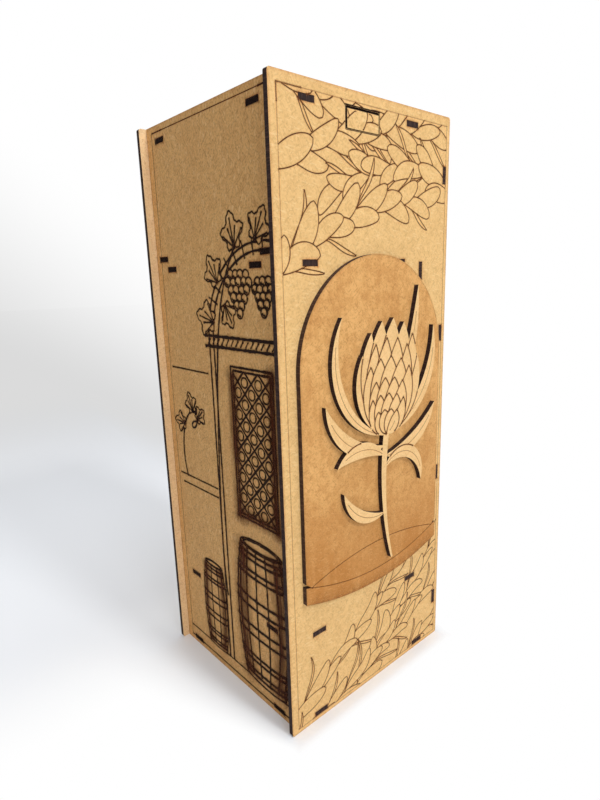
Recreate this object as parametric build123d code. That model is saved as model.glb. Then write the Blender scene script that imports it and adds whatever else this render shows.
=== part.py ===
from build123d import *

import os
from dataclasses import dataclass
from math import cos, radians, sin

# Sizes are in millimetres. X runs to the right, Y to the back and Z up.
# The origin is on the table, under the middle of the whole box, raised flower included.

# Case
case_width = 140.0
case_depth = 128.0
case_height = 350.0
board = 3.0
left_overhang = 5.0
right_overhang = 3.0
corner_radius = 1.5

# Gaps
tab_play = 0.2
slide_gap = 0.2
side_play = 0.3

# Tabs that join the boards
tab_length = 10.0
end_tab_inset = 15.0
inner_tab_inset = 18.5
outer_tab_inset = 9.0
top_right_tab_inset = 30.5
low_right_tab_inset = 26.6
bottom_right_tab_inset = 17.4
neck_right_tab_inset = 18.8
panel_tab_first = 31.0
panel_tab_pitch = 95.4
panel_tab_count = 4
wall_tab_drop = 6.6
wall_tab_pitch = 86.0
wall_tab_count = 3
wall_side_tab_inset = 24.0
wall_foot_tab_inset = 21.0

# Undersides of the level boards
bottom_lift = 2.8
ring_height = 57.0
neck_height = 265.0
gate_space = 3.3
top_recess = 7.4

# Room for the bottle
bottle_hole = 80.0
neck_hole = 34.0
letter_room = 19.2

# Rear frame and the runners of the sliding back
stile_width = 10.0
stile_tab_length = 5.0
stile_tab_inset = 3.2
runner_width = 5.0
runner_lip = 3.5
runner_inset = 8.0

# Latch bar and its tile
window_x = -7.8
window_width = 25.4
window_height = 10.8
window_drop = 13.0
tile_width = 24.4
tile_height = 9.6
latch_travel = 3.0
latch_block_length = 8.0
latch_rail_width = 6.0
latch_rail_inset = 8.0
latch_strap_width = 10.0
latch_strap_inset = 20.0

# Gate behind the neck of the bottle
gate_setback = 3.0
gate_rear_gap = 4.4
gate_grip = 14.1
gate_clear = 0.6
gate_end_gap = 0.4
gate_corner = 2.0
guide_width = 6.0
guide_gap = 1.0
peg_diameter = 6.0
peg_height = 13.0
peg_inset = 6.0
peg_fit = 0.05

# Bell-shaped plate on the front
bell_board = 3.0
bell_x = 1.0
bell_width = 119.5
bell_top = 270.8
bell_notch_height = 91.5
bell_notch_depth = 4.0
bell_notch_rise = 3.2
bell_notch_fall = 1.0
bell_foot_height = 82.0
bell_foot_sag = 9.5

# Flower on the bell, measured from the top of its stem
flower_board = 3.0
flower_x = 5.0
flower_height = 168.0
petal_height = 68.0
petal_step = 20.5
bud_lean = 5.0
stem_length = 82.0
stem_width = 5.0
stem_waist = 3.6
stem_foot = 1.6
stem_bow = 4.5
stem_lean = 6.0

# Places worked out from the sizes
relief_depth = bell_board + flower_board
front_y = relief_depth - (case_depth + relief_depth) / 2
inner_front_y = front_y + board
back_y = front_y + case_depth
inner_back_y = back_y - board
middle_y = front_y + case_depth / 2
stile_y = (inner_back_y - slide_gap - board, inner_back_y - slide_gap)
left_x = (-case_width / 2 + left_overhang, -case_width / 2 + left_overhang + board)
right_x = (case_width / 2 - right_overhang - board, case_width / 2 - right_overhang)
wall_x = (right_x[0] - letter_room - board, right_x[0] - letter_room)
bottle_x = (left_x[1] + wall_x[0]) / 2
keeper_height = neck_height + board + gate_space
top_height = case_height - top_recess - board


def block(x, y, z):
    """Box between two limits along each axis."""
    centre = Pos((x[0] + x[1]) / 2, (y[0] + y[1]) / 2, (z[0] + z[1]) / 2)
    return centre * Box(x[1] - x[0], y[1] - y[0], z[1] - z[0])


def around(middle, length):
    """Two limits, half the length each side of the middle."""
    return (middle - length / 2, middle + length / 2)


def wider(limits, play):
    """Two limits with the play added at both ends."""
    return (limits[0] - play, limits[1] + play)


def upright_face(outline, y):
    """Face from an outline drawn in x and z, on the upright plane at y."""
    return Plane((0, y, 0), x_dir=(1, 0, 0), z_dir=(0, -1, 0)) * outline


def upright_plate(outline, y):
    """Plate from an outline drawn in x and z, between two values of y."""
    return extrude(upright_face(outline, y[1]), y[1] - y[0])


@dataclass(frozen=True)
class Level:
    """A level board and the tabs that it pushes through its neighbours.

    Attributes:
        underside: height of the lower face.
        right: x of the edge on the right.
        front_tabs: x of each tab in the front panel.
        side_tab_inset: distance from a side tab's middle to the board's corner.
        stiles: which stiles of the rear frame it is tabbed to.
    """

    underside: float
    right: float
    front_tabs: tuple
    side_tab_inset: float
    stiles: tuple = ("left", "right")

    @property
    def z(self):
        return (self.underside, self.underside + board)

    @property
    def side_tabs(self):
        front = inner_front_y + self.side_tab_inset
        return (front, 2 * middle_y - front)


bottom_level = Level(
    bottom_lift,
    right_x[0],
    (left_x[1] + end_tab_inset, right_x[0] - bottom_right_tab_inset),
    end_tab_inset,
)
ring_level = Level(
    ring_height,
    right_x[0],
    (left_x[1] + end_tab_inset, right_x[0] - low_right_tab_inset),
    inner_tab_inset,
)
neck_level = Level(
    neck_height,
    wall_x[0],
    (left_x[1] + end_tab_inset, wall_x[0] - neck_right_tab_inset),
    inner_tab_inset,
    ("left",),
)
keeper_level = Level(keeper_height, right_x[0], (), outer_tab_inset)
top_level = Level(
    top_height,
    right_x[0],
    (left_x[1] + end_tab_inset, right_x[0] - top_right_tab_inset),
    end_tab_inset,
)
levels = (bottom_level, ring_level, neck_level, keeper_level, top_level)
wide_levels = (bottom_level, ring_level, keeper_level, top_level)

panel_tabs = [panel_tab_first + panel_tab_pitch * i for i in range(panel_tab_count)]
wall_z = (ring_level.z[1], neck_level.z[1])
wall_tabs = [wall_z[1] - wall_tab_drop - wall_tab_pitch * i for i in range(wall_tab_count)]
wall_side_tabs = (inner_front_y + wall_side_tab_inset, stile_y[0] - wall_side_tab_inset)
wall_foot_tabs = (inner_front_y + wall_foot_tab_inset, stile_y[0] - wall_foot_tab_inset)

stile_x = {
    "left": (left_x[1], left_x[1] + stile_width),
    "right": (right_x[0] - stile_width, right_x[0]),
}
stile_tab_x = {
    "left": left_x[1] + stile_tab_inset,
    "right": right_x[0] - stile_tab_inset,
}
spacer_x = {
    "left": (stile_x["left"][1] + side_play, stile_x["left"][1] + side_play + runner_width),
    "right": (stile_x["right"][0] - side_play - runner_width, stile_x["right"][0] - side_play),
}
strip_x = {
    "left": (stile_x["left"][1] - runner_lip, spacer_x["left"][1]),
    "right": (spacer_x["right"][0], stile_x["right"][0] + runner_lip),
}
strip_y = (stile_y[0] - slide_gap - board, stile_y[0] - slide_gap)
runner_z = (bottom_level.z[1], case_height - runner_inset)

window_z = around(case_height - window_drop, window_height)
tile_x = (window_x + window_width / 2 - tab_play - tile_width, window_x + window_width / 2 - tab_play)
tile_z = (window_z[0] + tab_play, window_z[0] + tab_play + tile_height)
latch_z = (top_height - board + slide_gap, top_height - slide_gap)
latch_block_z = (latch_z[0] - board, latch_z[0])
latch_end_y = inner_back_y - slide_gap
latch_rail_y = (inner_front_y + latch_rail_inset, stile_y[0] - latch_rail_inset)
latch_rail_x = {
    "left": (tile_x[0] - slide_gap - latch_rail_width, tile_x[0] - slide_gap),
    "right": (tile_x[1] + slide_gap, tile_x[1] + slide_gap + latch_rail_width),
}
latch_straps = {
    "front": latch_rail_y[0] + latch_strap_inset,
    "rear": latch_rail_y[1] - latch_strap_inset,
}

neck_x = around(bottle_x, neck_hole)
gate_travel = right_x[0] - gate_end_gap - neck_x[1] - gate_grip
gate_x = (neck_x[1] + gate_clear - gate_travel, neck_x[1] + gate_grip)
gate_rear_y = strip_y[0] - gate_rear_gap - guide_width - slide_gap
gate_y = (middle_y + neck_hole / 2 + gate_setback, gate_rear_y)
gate_z = around(neck_level.z[1] + gate_space / 2, board)
peg_x = gate_x[1] - peg_inset
peg_y = (gate_y[0] + gate_y[1]) / 2
guide_y = {
    "front": (gate_y[0] - slide_gap - guide_width, gate_y[0] - slide_gap),
    "rear": (gate_y[1] + slide_gap, gate_y[1] + slide_gap + guide_width),
}
guide_x = {
    "left": (left_x[1], neck_x[0] - guide_gap),
    "right": (neck_x[1] + guide_gap, right_x[0]),
}


def level_tabs(level):
    """Tabs of a level board: front, both sides and the rear frame."""
    front = (front_y, inner_front_y)
    tabs = [block(around(x, tab_length), front, level.z) for x in level.front_tabs]
    for y in level.side_tabs:
        tabs.append(block(left_x, around(y, tab_length), level.z))
        if level.right == right_x[0]:
            tabs.append(block(right_x, around(y, tab_length), level.z))
    for side in level.stiles:
        tabs.append(block(around(stile_tab_x[side], stile_tab_length), stile_y, level.z))
    return tabs


def level_board(level):
    """Level board with its tabs and a rear edge that closes the gap between the runners."""
    shape = block((left_x[1], level.right), (inner_front_y, stile_y[0]), level.z)
    rear_x = (spacer_x["left"][1] + side_play, min(level.right, spacer_x["right"][0] - side_play))
    shape += block(rear_x, stile_y, level.z)
    for tab in level_tabs(level):
        shape += tab
    return shape


def runner_notch(side, level):
    """Room for one runner of the sliding back at the rear edge of a level board."""
    return block(wider(strip_x[side], side_play), (strip_y[0] - side_play, stile_y[1]), level.z)


def open_slot(diameter, level):
    """Cut for the bottle: round at its front and open to the rear."""
    width = around(bottle_x, diameter)
    middle = (level.z[0] + level.z[1]) / 2
    return block(width, (middle_y, stile_y[1]), level.z) + Pos(bottle_x, middle_y, middle) * Cylinder(
        diameter / 2, board
    )


def bottom_board():
    """Board that the bottle stands on."""
    return level_board(bottom_level)


def ring_board():
    """Low board that steadies the body of the bottle and carries the inner wall."""
    shape = level_board(ring_level)
    for side in ("left", "right"):
        shape -= runner_notch(side, ring_level)
    for y in wall_foot_tabs:
        shape -= block(wider(wall_x, tab_play), around(y, tab_length + 2 * tab_play), ring_level.z)
    return shape - open_slot(bottle_hole, ring_level)


def neck_board():
    """Board round the neck of the bottle, tabbed to the inner wall."""
    shape = level_board(neck_level)
    for y in wall_side_tabs:
        shape += block(wall_x, around(y, tab_length), neck_level.z)
    return shape - runner_notch("left", neck_level) - open_slot(neck_hole, neck_level)


def keeper_board():
    """Board over the neck gate, with the slot that its peg runs in."""
    shape = level_board(keeper_level)
    for side in ("left", "right"):
        shape -= runner_notch(side, keeper_level)
    slot_width = peg_diameter + 2 * side_play
    ends = (peg_x, peg_x + gate_travel)
    shape -= block(ends, around(peg_y, slot_width), keeper_level.z)
    middle = (keeper_level.z[0] + keeper_level.z[1]) / 2
    for x in ends:
        shape -= Pos(x, peg_y, middle) * Cylinder(slot_width / 2, board)
    return shape - open_slot(neck_hole, keeper_level)


def top_board():
    """Top, set below the rim, notched at the front for the tile."""
    shape = level_board(top_level)
    for side in ("left", "right"):
        shape -= runner_notch(side, top_level)
    notch_y = (front_y, inner_front_y + latch_travel + side_play)
    return shape - block(wider(tile_x, side_play), notch_y, top_level.z)


def wide_panel(y):
    """Front or back panel: a tall board with its four corners eased."""
    outline = Pos(0, case_height / 2) * RectangleRounded(case_width, case_height, corner_radius)
    return upright_plate(outline, y)


def front_panel():
    """Front panel, slotted for every board behind it and holed for the tile."""
    thickness = (front_y, inner_front_y)
    shape = wide_panel(thickness)
    for level in levels:
        for x in level.front_tabs:
            shape -= block(around(x, tab_length + 2 * tab_play), thickness, wider(level.z, tab_play))
    for z in panel_tabs:
        shape -= block(wider(right_x, tab_play), thickness, around(z, tab_length + 2 * tab_play))
    for z in wall_tabs:
        shape -= block(wider(wall_x, tab_play), thickness, around(z, tab_length + 2 * tab_play))
    return shape - block(around(window_x, window_width), thickness, window_z)


def back_panel():
    """Back that slides up, with the window that the latch enters."""
    thickness = (inner_back_y, back_y)
    window = (latch_block_z[0], latch_z[1])
    return wide_panel(thickness) - block(wider(tile_x, side_play), thickness, wider(window, side_play))


def side_panel(x, joined):
    """Side panel with a pair of slots for each board that is joined to it."""
    shape = block(x, (inner_front_y, stile_y[1]), (0, case_height))
    for level in joined:
        for y in level.side_tabs:
            shape -= block(x, around(y, tab_length + 2 * tab_play), wider(level.z, tab_play))
    return shape


def left_panel():
    """Left side: it hangs on the side tabs alone."""
    return side_panel(left_x, levels)


def right_panel():
    """Right side, also tabbed to the front panel."""
    shape = side_panel(right_x, wide_levels)
    for z in panel_tabs:
        shape += block(right_x, (front_y, inner_front_y), around(z, tab_length))
    return shape


def inner_wall():
    """Upright wall between the bottle and the narrow letter room."""
    shape = block(wall_x, (inner_front_y, stile_y[1]), wall_z)
    for z in wall_tabs:
        shape += block(wall_x, (front_y, inner_front_y), around(z, tab_length))
    for y in wall_foot_tabs:
        shape += block(wall_x, around(y, tab_length), ring_level.z)
    for y in wall_side_tabs:
        slot_z = (neck_level.z[0] - tab_play, neck_level.z[1])
        shape -= block(wall_x, around(y, tab_length + 2 * tab_play), slot_z)
    return shape


def stile(side):
    """Upright of the rear frame that holds the sliding back in."""
    shape = block(stile_x[side], stile_y, (0, case_height))
    for level in levels:
        if side in level.stiles:
            slot_x = around(stile_tab_x[side], stile_tab_length + 2 * tab_play)
            shape -= block(slot_x, stile_y, wider(level.z, tab_play))
    return shape


def runner_spacer(side):
    """Strip on the back that runs along the edge of a stile."""
    return block(spacer_x[side], (strip_y[1], inner_back_y), runner_z)


def runner_strip(side):
    """Strip that reaches behind a stile and keeps the back from coming away."""
    return block(strip_x[side], strip_y, runner_z)


def latch_tile():
    """Tile in the front panel: the visible end of the latch."""
    return block(tile_x, (front_y, inner_front_y), tile_z)


def latch_bar():
    """Thin bar under the top that joins the tile to the nose."""
    return block(tile_x, (inner_front_y, latch_end_y), latch_z)


def latch_front_block():
    """Block that backs the tile under the bar."""
    return block(tile_x, (inner_front_y, inner_front_y + latch_block_length), latch_block_z)


def latch_nose():
    """Block under the rear end of the bar, which makes the nose thicker."""
    return block(tile_x, (latch_end_y - latch_block_length, latch_end_y), latch_block_z)


def latch_rail(side):
    """Strip under the top that guides one edge of the latch bar."""
    return block(latch_rail_x[side], latch_rail_y, (top_height - board, top_height))


def latch_strap(end):
    """Cross strip that holds the latch bar up against the top."""
    x = (latch_rail_x["left"][0], latch_rail_x["right"][1])
    z = (top_height - 2 * board, top_height - board)
    return block(x, around(latch_straps[end], latch_strap_width), z)


def neck_gate():
    """Plate that slides across behind the neck, with the hole for its peg."""
    outline = RectangleRounded(gate_x[1] - gate_x[0], gate_y[1] - gate_y[0], gate_corner)
    outline -= Pos(peg_x - (gate_x[0] + gate_x[1]) / 2, 0) * Circle(peg_diameter / 2 + peg_fit)
    return extrude(Pos((gate_x[0] + gate_x[1]) / 2, peg_y, gate_z[0]) * outline, board)


def gate_peg():
    """Dowel that the gate is moved by."""
    return Pos(peg_x, peg_y, gate_z[0] + peg_height / 2) * Cylinder(peg_diameter / 2, peg_height)


def gate_guide(end, side):
    """Strip between the two neck boards that guides one edge of the gate."""
    return block(guide_x[side], guide_y[end], (neck_level.z[1], keeper_level.z[0]))


def bell_outline():
    """Bell jar: a half-round dome on straight sides, a notch, and a foot with a bowed edge."""
    half = bell_width / 2
    shoulder = (half, bell_top - half)
    dome_end = (half, bell_notch_height + bell_notch_rise)
    notch = (half - bell_notch_depth, bell_notch_height)
    foot_top = (half, bell_notch_height + bell_notch_fall)
    foot = (half, bell_foot_height)
    right = Polyline(shoulder, dome_end, notch, foot_top, foot)
    left = Polyline(*[(-x, z) for x, z in (shoulder, dome_end, notch, foot_top, foot)])
    dome = ThreePointArc((-half, shoulder[1]), (0, bell_top), shoulder)
    sole = ThreePointArc(foot, (0, bell_foot_height - bell_foot_sag), (-half, bell_foot_height))
    return Pos(bell_x, 0) * make_face(dome + right + sole + left)


def bell_plate():
    """Dark plate on the front panel."""
    return upright_plate(bell_outline(), (front_y - bell_board, front_y))


def lens(root, tip, bulges):
    """Petal or leaf: two arcs between a root and a tip.

    Args:
        root: x and z of the end on the plant.
        tip: x and z of the free end.
        bulges: how far each arc lies from the straight line, positive to its left.
    """
    span_x = tip[0] - root[0]
    span_z = tip[1] - root[1]
    length = (span_x**2 + span_z**2) ** 0.5
    middle = ((root[0] + tip[0]) / 2, (root[1] + tip[1]) / 2)
    arcs = []
    for bulge in bulges:
        via = (middle[0] - bulge * span_z / length, middle[1] + bulge * span_x / length)
        arcs.append(ThreePointArc(root, via, tip))
    return make_face(arcs[0] + arcs[1])


def stem_middle(drop):
    """Where the middle of the stem lies, a given drop below its top."""
    share = drop / stem_length
    return stem_lean * share - 4 * stem_bow * share * (1 - share)


@dataclass(frozen=True)
class PetalRow:
    """Row of petals that all grow from the top of the stem, for a bud that stands upright.

    Its lengths are shares of the height of the tallest petal.

    Attributes:
        count: petals in the row.
        reach: how far out a petal laid flat would reach.
        height: height of a petal that stands upright.
        half_width: half the width of an upright petal.
        curl: how far the outer petals bend back towards the middle.
    """

    count: int
    reach: float
    height: float
    half_width: float
    curl: float

    def petals(self):
        shapes = []
        for i in range(self.count):
            angle = radians((i - (self.count - 1) / 2) * petal_step)
            across = petal_height * sin(angle)
            tip = (self.reach * across, self.height * petal_height * cos(angle) ** 0.5)
            half = self.half_width * petal_height * cos(angle)
            bend = self.curl * across
            shapes.append(lens((0, 0), tip, (half - bend, -half - bend)))
        return shapes


@dataclass(frozen=True)
class Leaf:
    """Leaf that grows from the stem.

    Its lengths are shares of the length of the stem.

    Attributes:
        drop: how far its root lies below the top of the stem.
        reach: how far its tip lies to the right of the stem's top, or to the left if negative.
        rise: height of its tip over the stem's top.
        bends: how far each edge bends from the line from root to tip, positive to its left.
    """

    drop: float
    reach: float
    rise: float
    bends: tuple[float, float]

    def outline(self):
        root = (stem_middle(self.drop * stem_length), -self.drop * stem_length)
        tip = (self.reach * stem_length, self.rise * stem_length)
        return lens(root, tip, [bend * stem_length for bend in self.bends])


petal_rows = (
    PetalRow(count=7, reach=0.41, height=1.0, half_width=0.16, curl=0.15),
    PetalRow(count=4, reach=0.4, height=0.84, half_width=0.13, curl=0.15),
    PetalRow(count=5, reach=0.385, height=0.68, half_width=0.135, curl=0.125),
    PetalRow(count=4, reach=0.34, height=0.5, half_width=0.11, curl=0.115),
    PetalRow(count=5, reach=0.31, height=0.36, half_width=0.09, curl=0.095),
    PetalRow(count=4, reach=0.24, height=0.22, half_width=0.072, curl=0.07),
)
leaves = (
    Leaf(drop=0.0, reach=-0.44, rise=0.86, bends=(0.29, 0.21)),
    Leaf(drop=0.0, reach=0.54, rise=0.74, bends=(-0.14, -0.24)),
    Leaf(drop=0.0, reach=0.35, rise=1.04, bends=(-0.03, -0.12)),
    Leaf(drop=0.08, reach=-0.6, rise=0.3, bends=(0.19, 0.08)),
    Leaf(drop=0.16, reach=0.58, rise=0.14, bends=(-0.05, -0.16)),
    Leaf(drop=0.16, reach=-0.5, rise=-0.14, bends=(-0.03, -0.14)),
    Leaf(drop=0.26, reach=0.42, rise=-0.46, bends=(0.23, 0.13)),
    Leaf(drop=0.6, reach=-0.44, rise=-0.34, bends=(0.14, 0.05)),
)


def flower_stem():
    """Bowed stem that runs to a blunt foot."""
    top = [(side * stem_width / 2, 0.0) for side in (-1, 1)]
    middle = [(stem_middle(stem_length / 2) + side * stem_waist / 2, -stem_length / 2) for side in (-1, 1)]
    foot = [(stem_lean + side * stem_foot / 2, -stem_length) for side in (-1, 1)]
    left = ThreePointArc(top[0], middle[0], foot[0])
    right = ThreePointArc(foot[1], middle[1], top[1])
    return make_face(left + Line(foot[0], foot[1]) + right + Line(top[1], top[0]))


def flower_outline():
    """Flower as one cut-out: the stem, the leaves and the bud with its rows of petals."""
    outline = flower_stem()
    for leaf in leaves:
        outline += leaf.outline()
    for row in petal_rows:
        for petal in row.petals():
            outline += Rot(0, 0, -bud_lean) * petal
    return Pos(flower_x, flower_height) * outline


def flower_relief():
    """Light flower on the bell plate."""
    surface = front_y - bell_board
    return upright_plate(flower_outline(), (surface - flower_board, surface))


def build_nodes():
    """Every piece of the box by name."""
    nodes = {
        "front_panel": front_panel(),
        "back_panel": back_panel(),
        "left_panel": left_panel(),
        "right_panel": right_panel(),
        "bottom_board": bottom_board(),
        "bottle_ring_board": ring_board(),
        "neck_board": neck_board(),
        "keeper_board": keeper_board(),
        "top_board": top_board(),
        "inner_wall": inner_wall(),
        "bell_plate": bell_plate(),
        "flower_relief": flower_relief(),
        "latch_tile": latch_tile(),
        "latch_bar": latch_bar(),
        "latch_front_block": latch_front_block(),
        "latch_nose": latch_nose(),
        "neck_gate": neck_gate(),
        "gate_peg": gate_peg(),
    }
    for side in ("left", "right"):
        nodes[f"rear_stile_{side}"] = stile(side)
        nodes[f"runner_spacer_{side}"] = runner_spacer(side)
        nodes[f"runner_strip_{side}"] = runner_strip(side)
        nodes[f"latch_rail_{side}"] = latch_rail(side)
        for end in ("front", "rear"):
            nodes[f"gate_guide_{end}_{side}"] = gate_guide(end, side)
    for end in ("front", "rear"):
        nodes[f"latch_strap_{end}"] = latch_strap(end)
    return nodes


def main():
    os.makedirs("parts", exist_ok=True)
    for name, shape in build_nodes().items():
        export_step(shape, f"parts/{name}.step")
        print(name, round(shape.volume / 1000, 2), "cm3")


main()
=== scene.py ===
"""Looks of the wine puzzle box: board finishes, burnt line drawings, studio and camera.

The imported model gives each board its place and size. This script gives every board the finish of
laser-cut fibreboard, adds the lines that the laser burnt into the faces, and sets up the studio.
Lengths on the faces are in millimetres, and the scene itself is in metres.
"""

import logging
import math
from collections.abc import Callable, Mapping, Sequence
from dataclasses import dataclass, field, replace
from enum import Enum

import bpy
import numpy as np
from mathutils import Matrix, Vector


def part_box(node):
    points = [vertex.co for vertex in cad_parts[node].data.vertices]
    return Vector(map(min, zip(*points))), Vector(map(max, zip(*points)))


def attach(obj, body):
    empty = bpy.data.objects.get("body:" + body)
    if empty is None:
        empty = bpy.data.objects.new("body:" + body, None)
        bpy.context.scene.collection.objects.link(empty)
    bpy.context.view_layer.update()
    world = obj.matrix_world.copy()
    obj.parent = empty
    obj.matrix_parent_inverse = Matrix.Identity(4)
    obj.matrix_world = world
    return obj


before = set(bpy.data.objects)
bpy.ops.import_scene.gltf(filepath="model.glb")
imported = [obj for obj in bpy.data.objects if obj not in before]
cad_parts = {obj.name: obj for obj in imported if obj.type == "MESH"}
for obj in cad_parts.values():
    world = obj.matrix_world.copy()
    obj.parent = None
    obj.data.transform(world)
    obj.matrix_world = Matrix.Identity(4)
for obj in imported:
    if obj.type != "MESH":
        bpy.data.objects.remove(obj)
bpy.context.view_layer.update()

log = logging.getLogger("wine_box")

MM = 0.001
STROKE_ATTRIBUTE = "stroke"
Colour = tuple[float, float, float, float]
Pair = tuple[float, float]
Points = np.ndarray

WHITE: Colour = (1.0, 1.0, 1.0, 1.0)
LEFT_ONLY: Pair = (1.0, 0.0)
RIGHT_ONLY: Pair = (0.0, 1.0)


def seen(red: int, green: int, blue: int) -> Colour:
    """Turns a colour as it is seen on screen, in bytes, into the linear values that a shader takes.

    Each share s of 255 becomes s / 12.92 up to 0.04045, and ((s + 0.055) / 1.055) ** 2.4 above it.

    Args:
        red: red, 0 to 255.
        green: green, 0 to 255.
        blue: blue, 0 to 255.

    Returns:
        The linear colour with an alpha of 1.
    """
    shares = [byte / 255 for byte in (red, green, blue)]
    linear = [s / 12.92 if s <= 0.04045 else ((s + 0.055) / 1.055) ** 2.4 for s in shares]
    return (linear[0], linear[1], linear[2], 1.0)


class Axis(Enum):
    """The way through a board's thickness."""

    X = 0
    Y = 1
    Z = 2


@dataclass(frozen=True)
class Signal:
    """What leaves one socket of a shader node, with Python's arithmetic for numbers.

    Attributes:
        graph: the graph that the socket is in.
        socket: the output socket.
    """

    graph: "Graph"
    socket: bpy.types.NodeSocket

    def __add__(self, other: "Signal | float") -> "Signal":
        """Sum of two numbers."""
        return self.graph.math("ADD", self, other)

    __radd__ = __add__

    def __sub__(self, other: "Signal | float") -> "Signal":
        """This number less another."""
        return self.graph.math("SUBTRACT", self, other)

    def __rsub__(self, other: float) -> "Signal":
        """Another number less this one."""
        return self.graph.math("SUBTRACT", other, self)

    def __mul__(self, other: "Signal | float") -> "Signal":
        """Product of two numbers."""
        return self.graph.math("MULTIPLY", self, other)

    __rmul__ = __mul__

    def __truediv__(self, other: "Signal | float") -> "Signal":
        """This number over another."""
        return self.graph.math("DIVIDE", self, other)

    def __rtruediv__(self, other: float) -> "Signal":
        """Another number over this one."""
        return self.graph.math("DIVIDE", other, self)

    def __pow__(self, power: float) -> "Signal":
        """This number to a power."""
        return self.graph.math("POWER", self, power)

    def __abs__(self) -> "Signal":
        """Size of this number without its sign."""
        return self.graph.math("ABSOLUTE", self)

    def larger(self, other: "Signal | float") -> "Signal":
        """The larger of two numbers."""
        return self.graph.math("MAXIMUM", self, other)

    def rises(self, low: "Signal | float", high: "Signal | float") -> "Signal":
        """Smooth step: 0 below the low limit and 1 above the high one."""
        limits = {0: self, 1: low, 2: high, 3: 0.0, 4: 1.0}
        return self.graph.node("ShaderNodeMapRange", {"interpolation_type": "SMOOTHSTEP"}, limits)

    def part(self, index: int) -> "Signal":
        """One component of a vector, 0 to 2."""
        return self.graph.node("ShaderNodeSeparateXYZ", {}, {0: self}, index)

    def stretched(self, x: float, y: float, z: float) -> "Signal":
        """This vector with each component multiplied."""
        return self.graph.node("ShaderNodeVectorMath", {"operation": "MULTIPLY"}, {0: self, 1: (x, y, z)})


class Graph:
    """Nodes of one material or of the world."""

    def __init__(self, tree: bpy.types.NodeTree) -> None:
        """Starts with an empty tree."""
        self.tree = tree
        tree.nodes.clear()

    def node(
        self,
        kind: str,
        settings: Mapping[str, object],
        inputs: Mapping[int | str, object],
        output: int | str = 0,
    ) -> Signal:
        """Adds a node of any type.

        Args:
            kind: Blender's name of the node type.
            settings: the node's own properties, which are set first.
            inputs: a value or a signal for each socket that is given, by index or name.
            output: the output socket that is returned.

        Returns:
            The signal that leaves that output.
        """
        node = self.tree.nodes.new(kind)
        for name, value in settings.items():
            setattr(node, name, value)
        for key, value in inputs.items():
            if isinstance(value, Signal):
                self.tree.links.new(value.socket, node.inputs[key])
            else:
                node.inputs[key].default_value = value
        return Signal(self, node.outputs[output])

    def math(self, operation: str, *terms: "Signal | float") -> Signal:
        """Adds a Math node on one or two numbers."""
        return self.node("ShaderNodeMath", {"operation": operation}, dict(enumerate(terms)))

    def mixed(self, share: "Signal | float", first: object, second: object) -> Signal:
        """Mixes two colours: the first at a share of 0 and the second at 1."""
        return self.node("ShaderNodeMix", {"data_type": "RGBA"}, {0: share, 6: first, 7: second}, 2)

    def place(self) -> Signal:
        """Object coordinates, in metres."""
        return self.node("ShaderNodeTexCoord", {}, {}, "Object")

    def facing(self) -> Signal:
        """Direction of the surface, in the object's own axes."""
        return self.node("ShaderNodeTexCoord", {}, {}, "Normal")

    def noise(self, place: Signal, size: float, detail: float) -> Signal:
        """Soft noise between 0 and 1, around 0.5.

        Args:
            place: where it is read.
            size: size of its spots, in millimetres.
            detail: how many finer layers are added.

        Returns:
            The noise as a number.
        """
        inputs = {"Vector": place, "Scale": 1 / (size * MM), "Detail": detail}
        return self.node("ShaderNodeTexNoise", {}, inputs)

    def bump(self, height: Signal, depth: float) -> Signal:
        """Surface direction tilted by a height between 0 and 1 that stands for a depth in millimetres."""
        inputs = {"Height": height, "Distance": depth * MM, "Strength": 1.0}
        return self.node("ShaderNodeBump", {}, inputs)

    def principled(self, inputs: Mapping[int | str, object]) -> Signal:
        """Adds the main surface shader."""
        return self.node("ShaderNodeBsdfPrincipled", {}, inputs)

    def close(self, surface: Signal, output: str = "ShaderNodeOutputMaterial") -> None:
        """Sends the surface to the output node."""
        end = self.tree.nodes.new(output)
        self.tree.links.new(surface.socket, end.inputs["Surface"])


def new_material(name: str) -> tuple[bpy.types.Material, Graph]:
    """Makes an empty node material.

    Args:
        name: its name.

    Returns:
        The material and its graph.
    """
    made = bpy.data.materials.new(name)
    made.use_nodes = True
    return made, Graph(made.node_tree)


def add_object(name: str, data: bpy.types.ID) -> bpy.types.Object:
    """Puts an object with some data in the scene.

    Args:
        name: its name.
        data: its mesh, lamp or camera.

    Returns:
        The object.
    """
    made = bpy.data.objects.new(name, data)
    bpy.context.scene.collection.objects.link(made)
    return made


@dataclass(frozen=True)
class Spots:
    """Noise that leaves spots where it rises from one level to another.

    Attributes:
        size: size of the spots, in millimetres.
        detail: how many finer layers the noise has.
        low: level where a spot begins.
        high: level from which it is whole.
    """

    size: float
    detail: float
    low: float = 0.0
    high: float = 1.0

    def noise(self, graph: Graph, place: Signal) -> Signal:
        """The noise itself."""
        return graph.noise(place, self.size, self.detail)

    def cut(self, noise: Signal) -> Signal:
        """Spots in that noise: 1 on a spot and 0 beside it."""
        return noise.rises(self.low, self.high)

    def on(self, graph: Graph, place: Signal) -> Signal:
        """Noise that is cut to spots at once."""
        return self.cut(self.noise(graph, place))


BLOTCHES = Spots(34, 3, 0.42, 0.62)
STREAKS = Spots(6, 4, 0.47, 0.68)
MOTTLE = Spots(5, 5, 0.42, 0.62)
GRAIN = Spots(1.1, 5, 0.44, 0.74)
PORES = Spots(0.45, 1)
SPECKS = Spots(1.25, 1, 0.73, 0.8)
THREADS = Spots(0.8, 1, 0.61, 0.7)
PALE_SPOTS = Spots(1.2, 3, 0.56, 0.74)
CHAR = Spots(0.8, 3, 0.45, 0.8)

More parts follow.
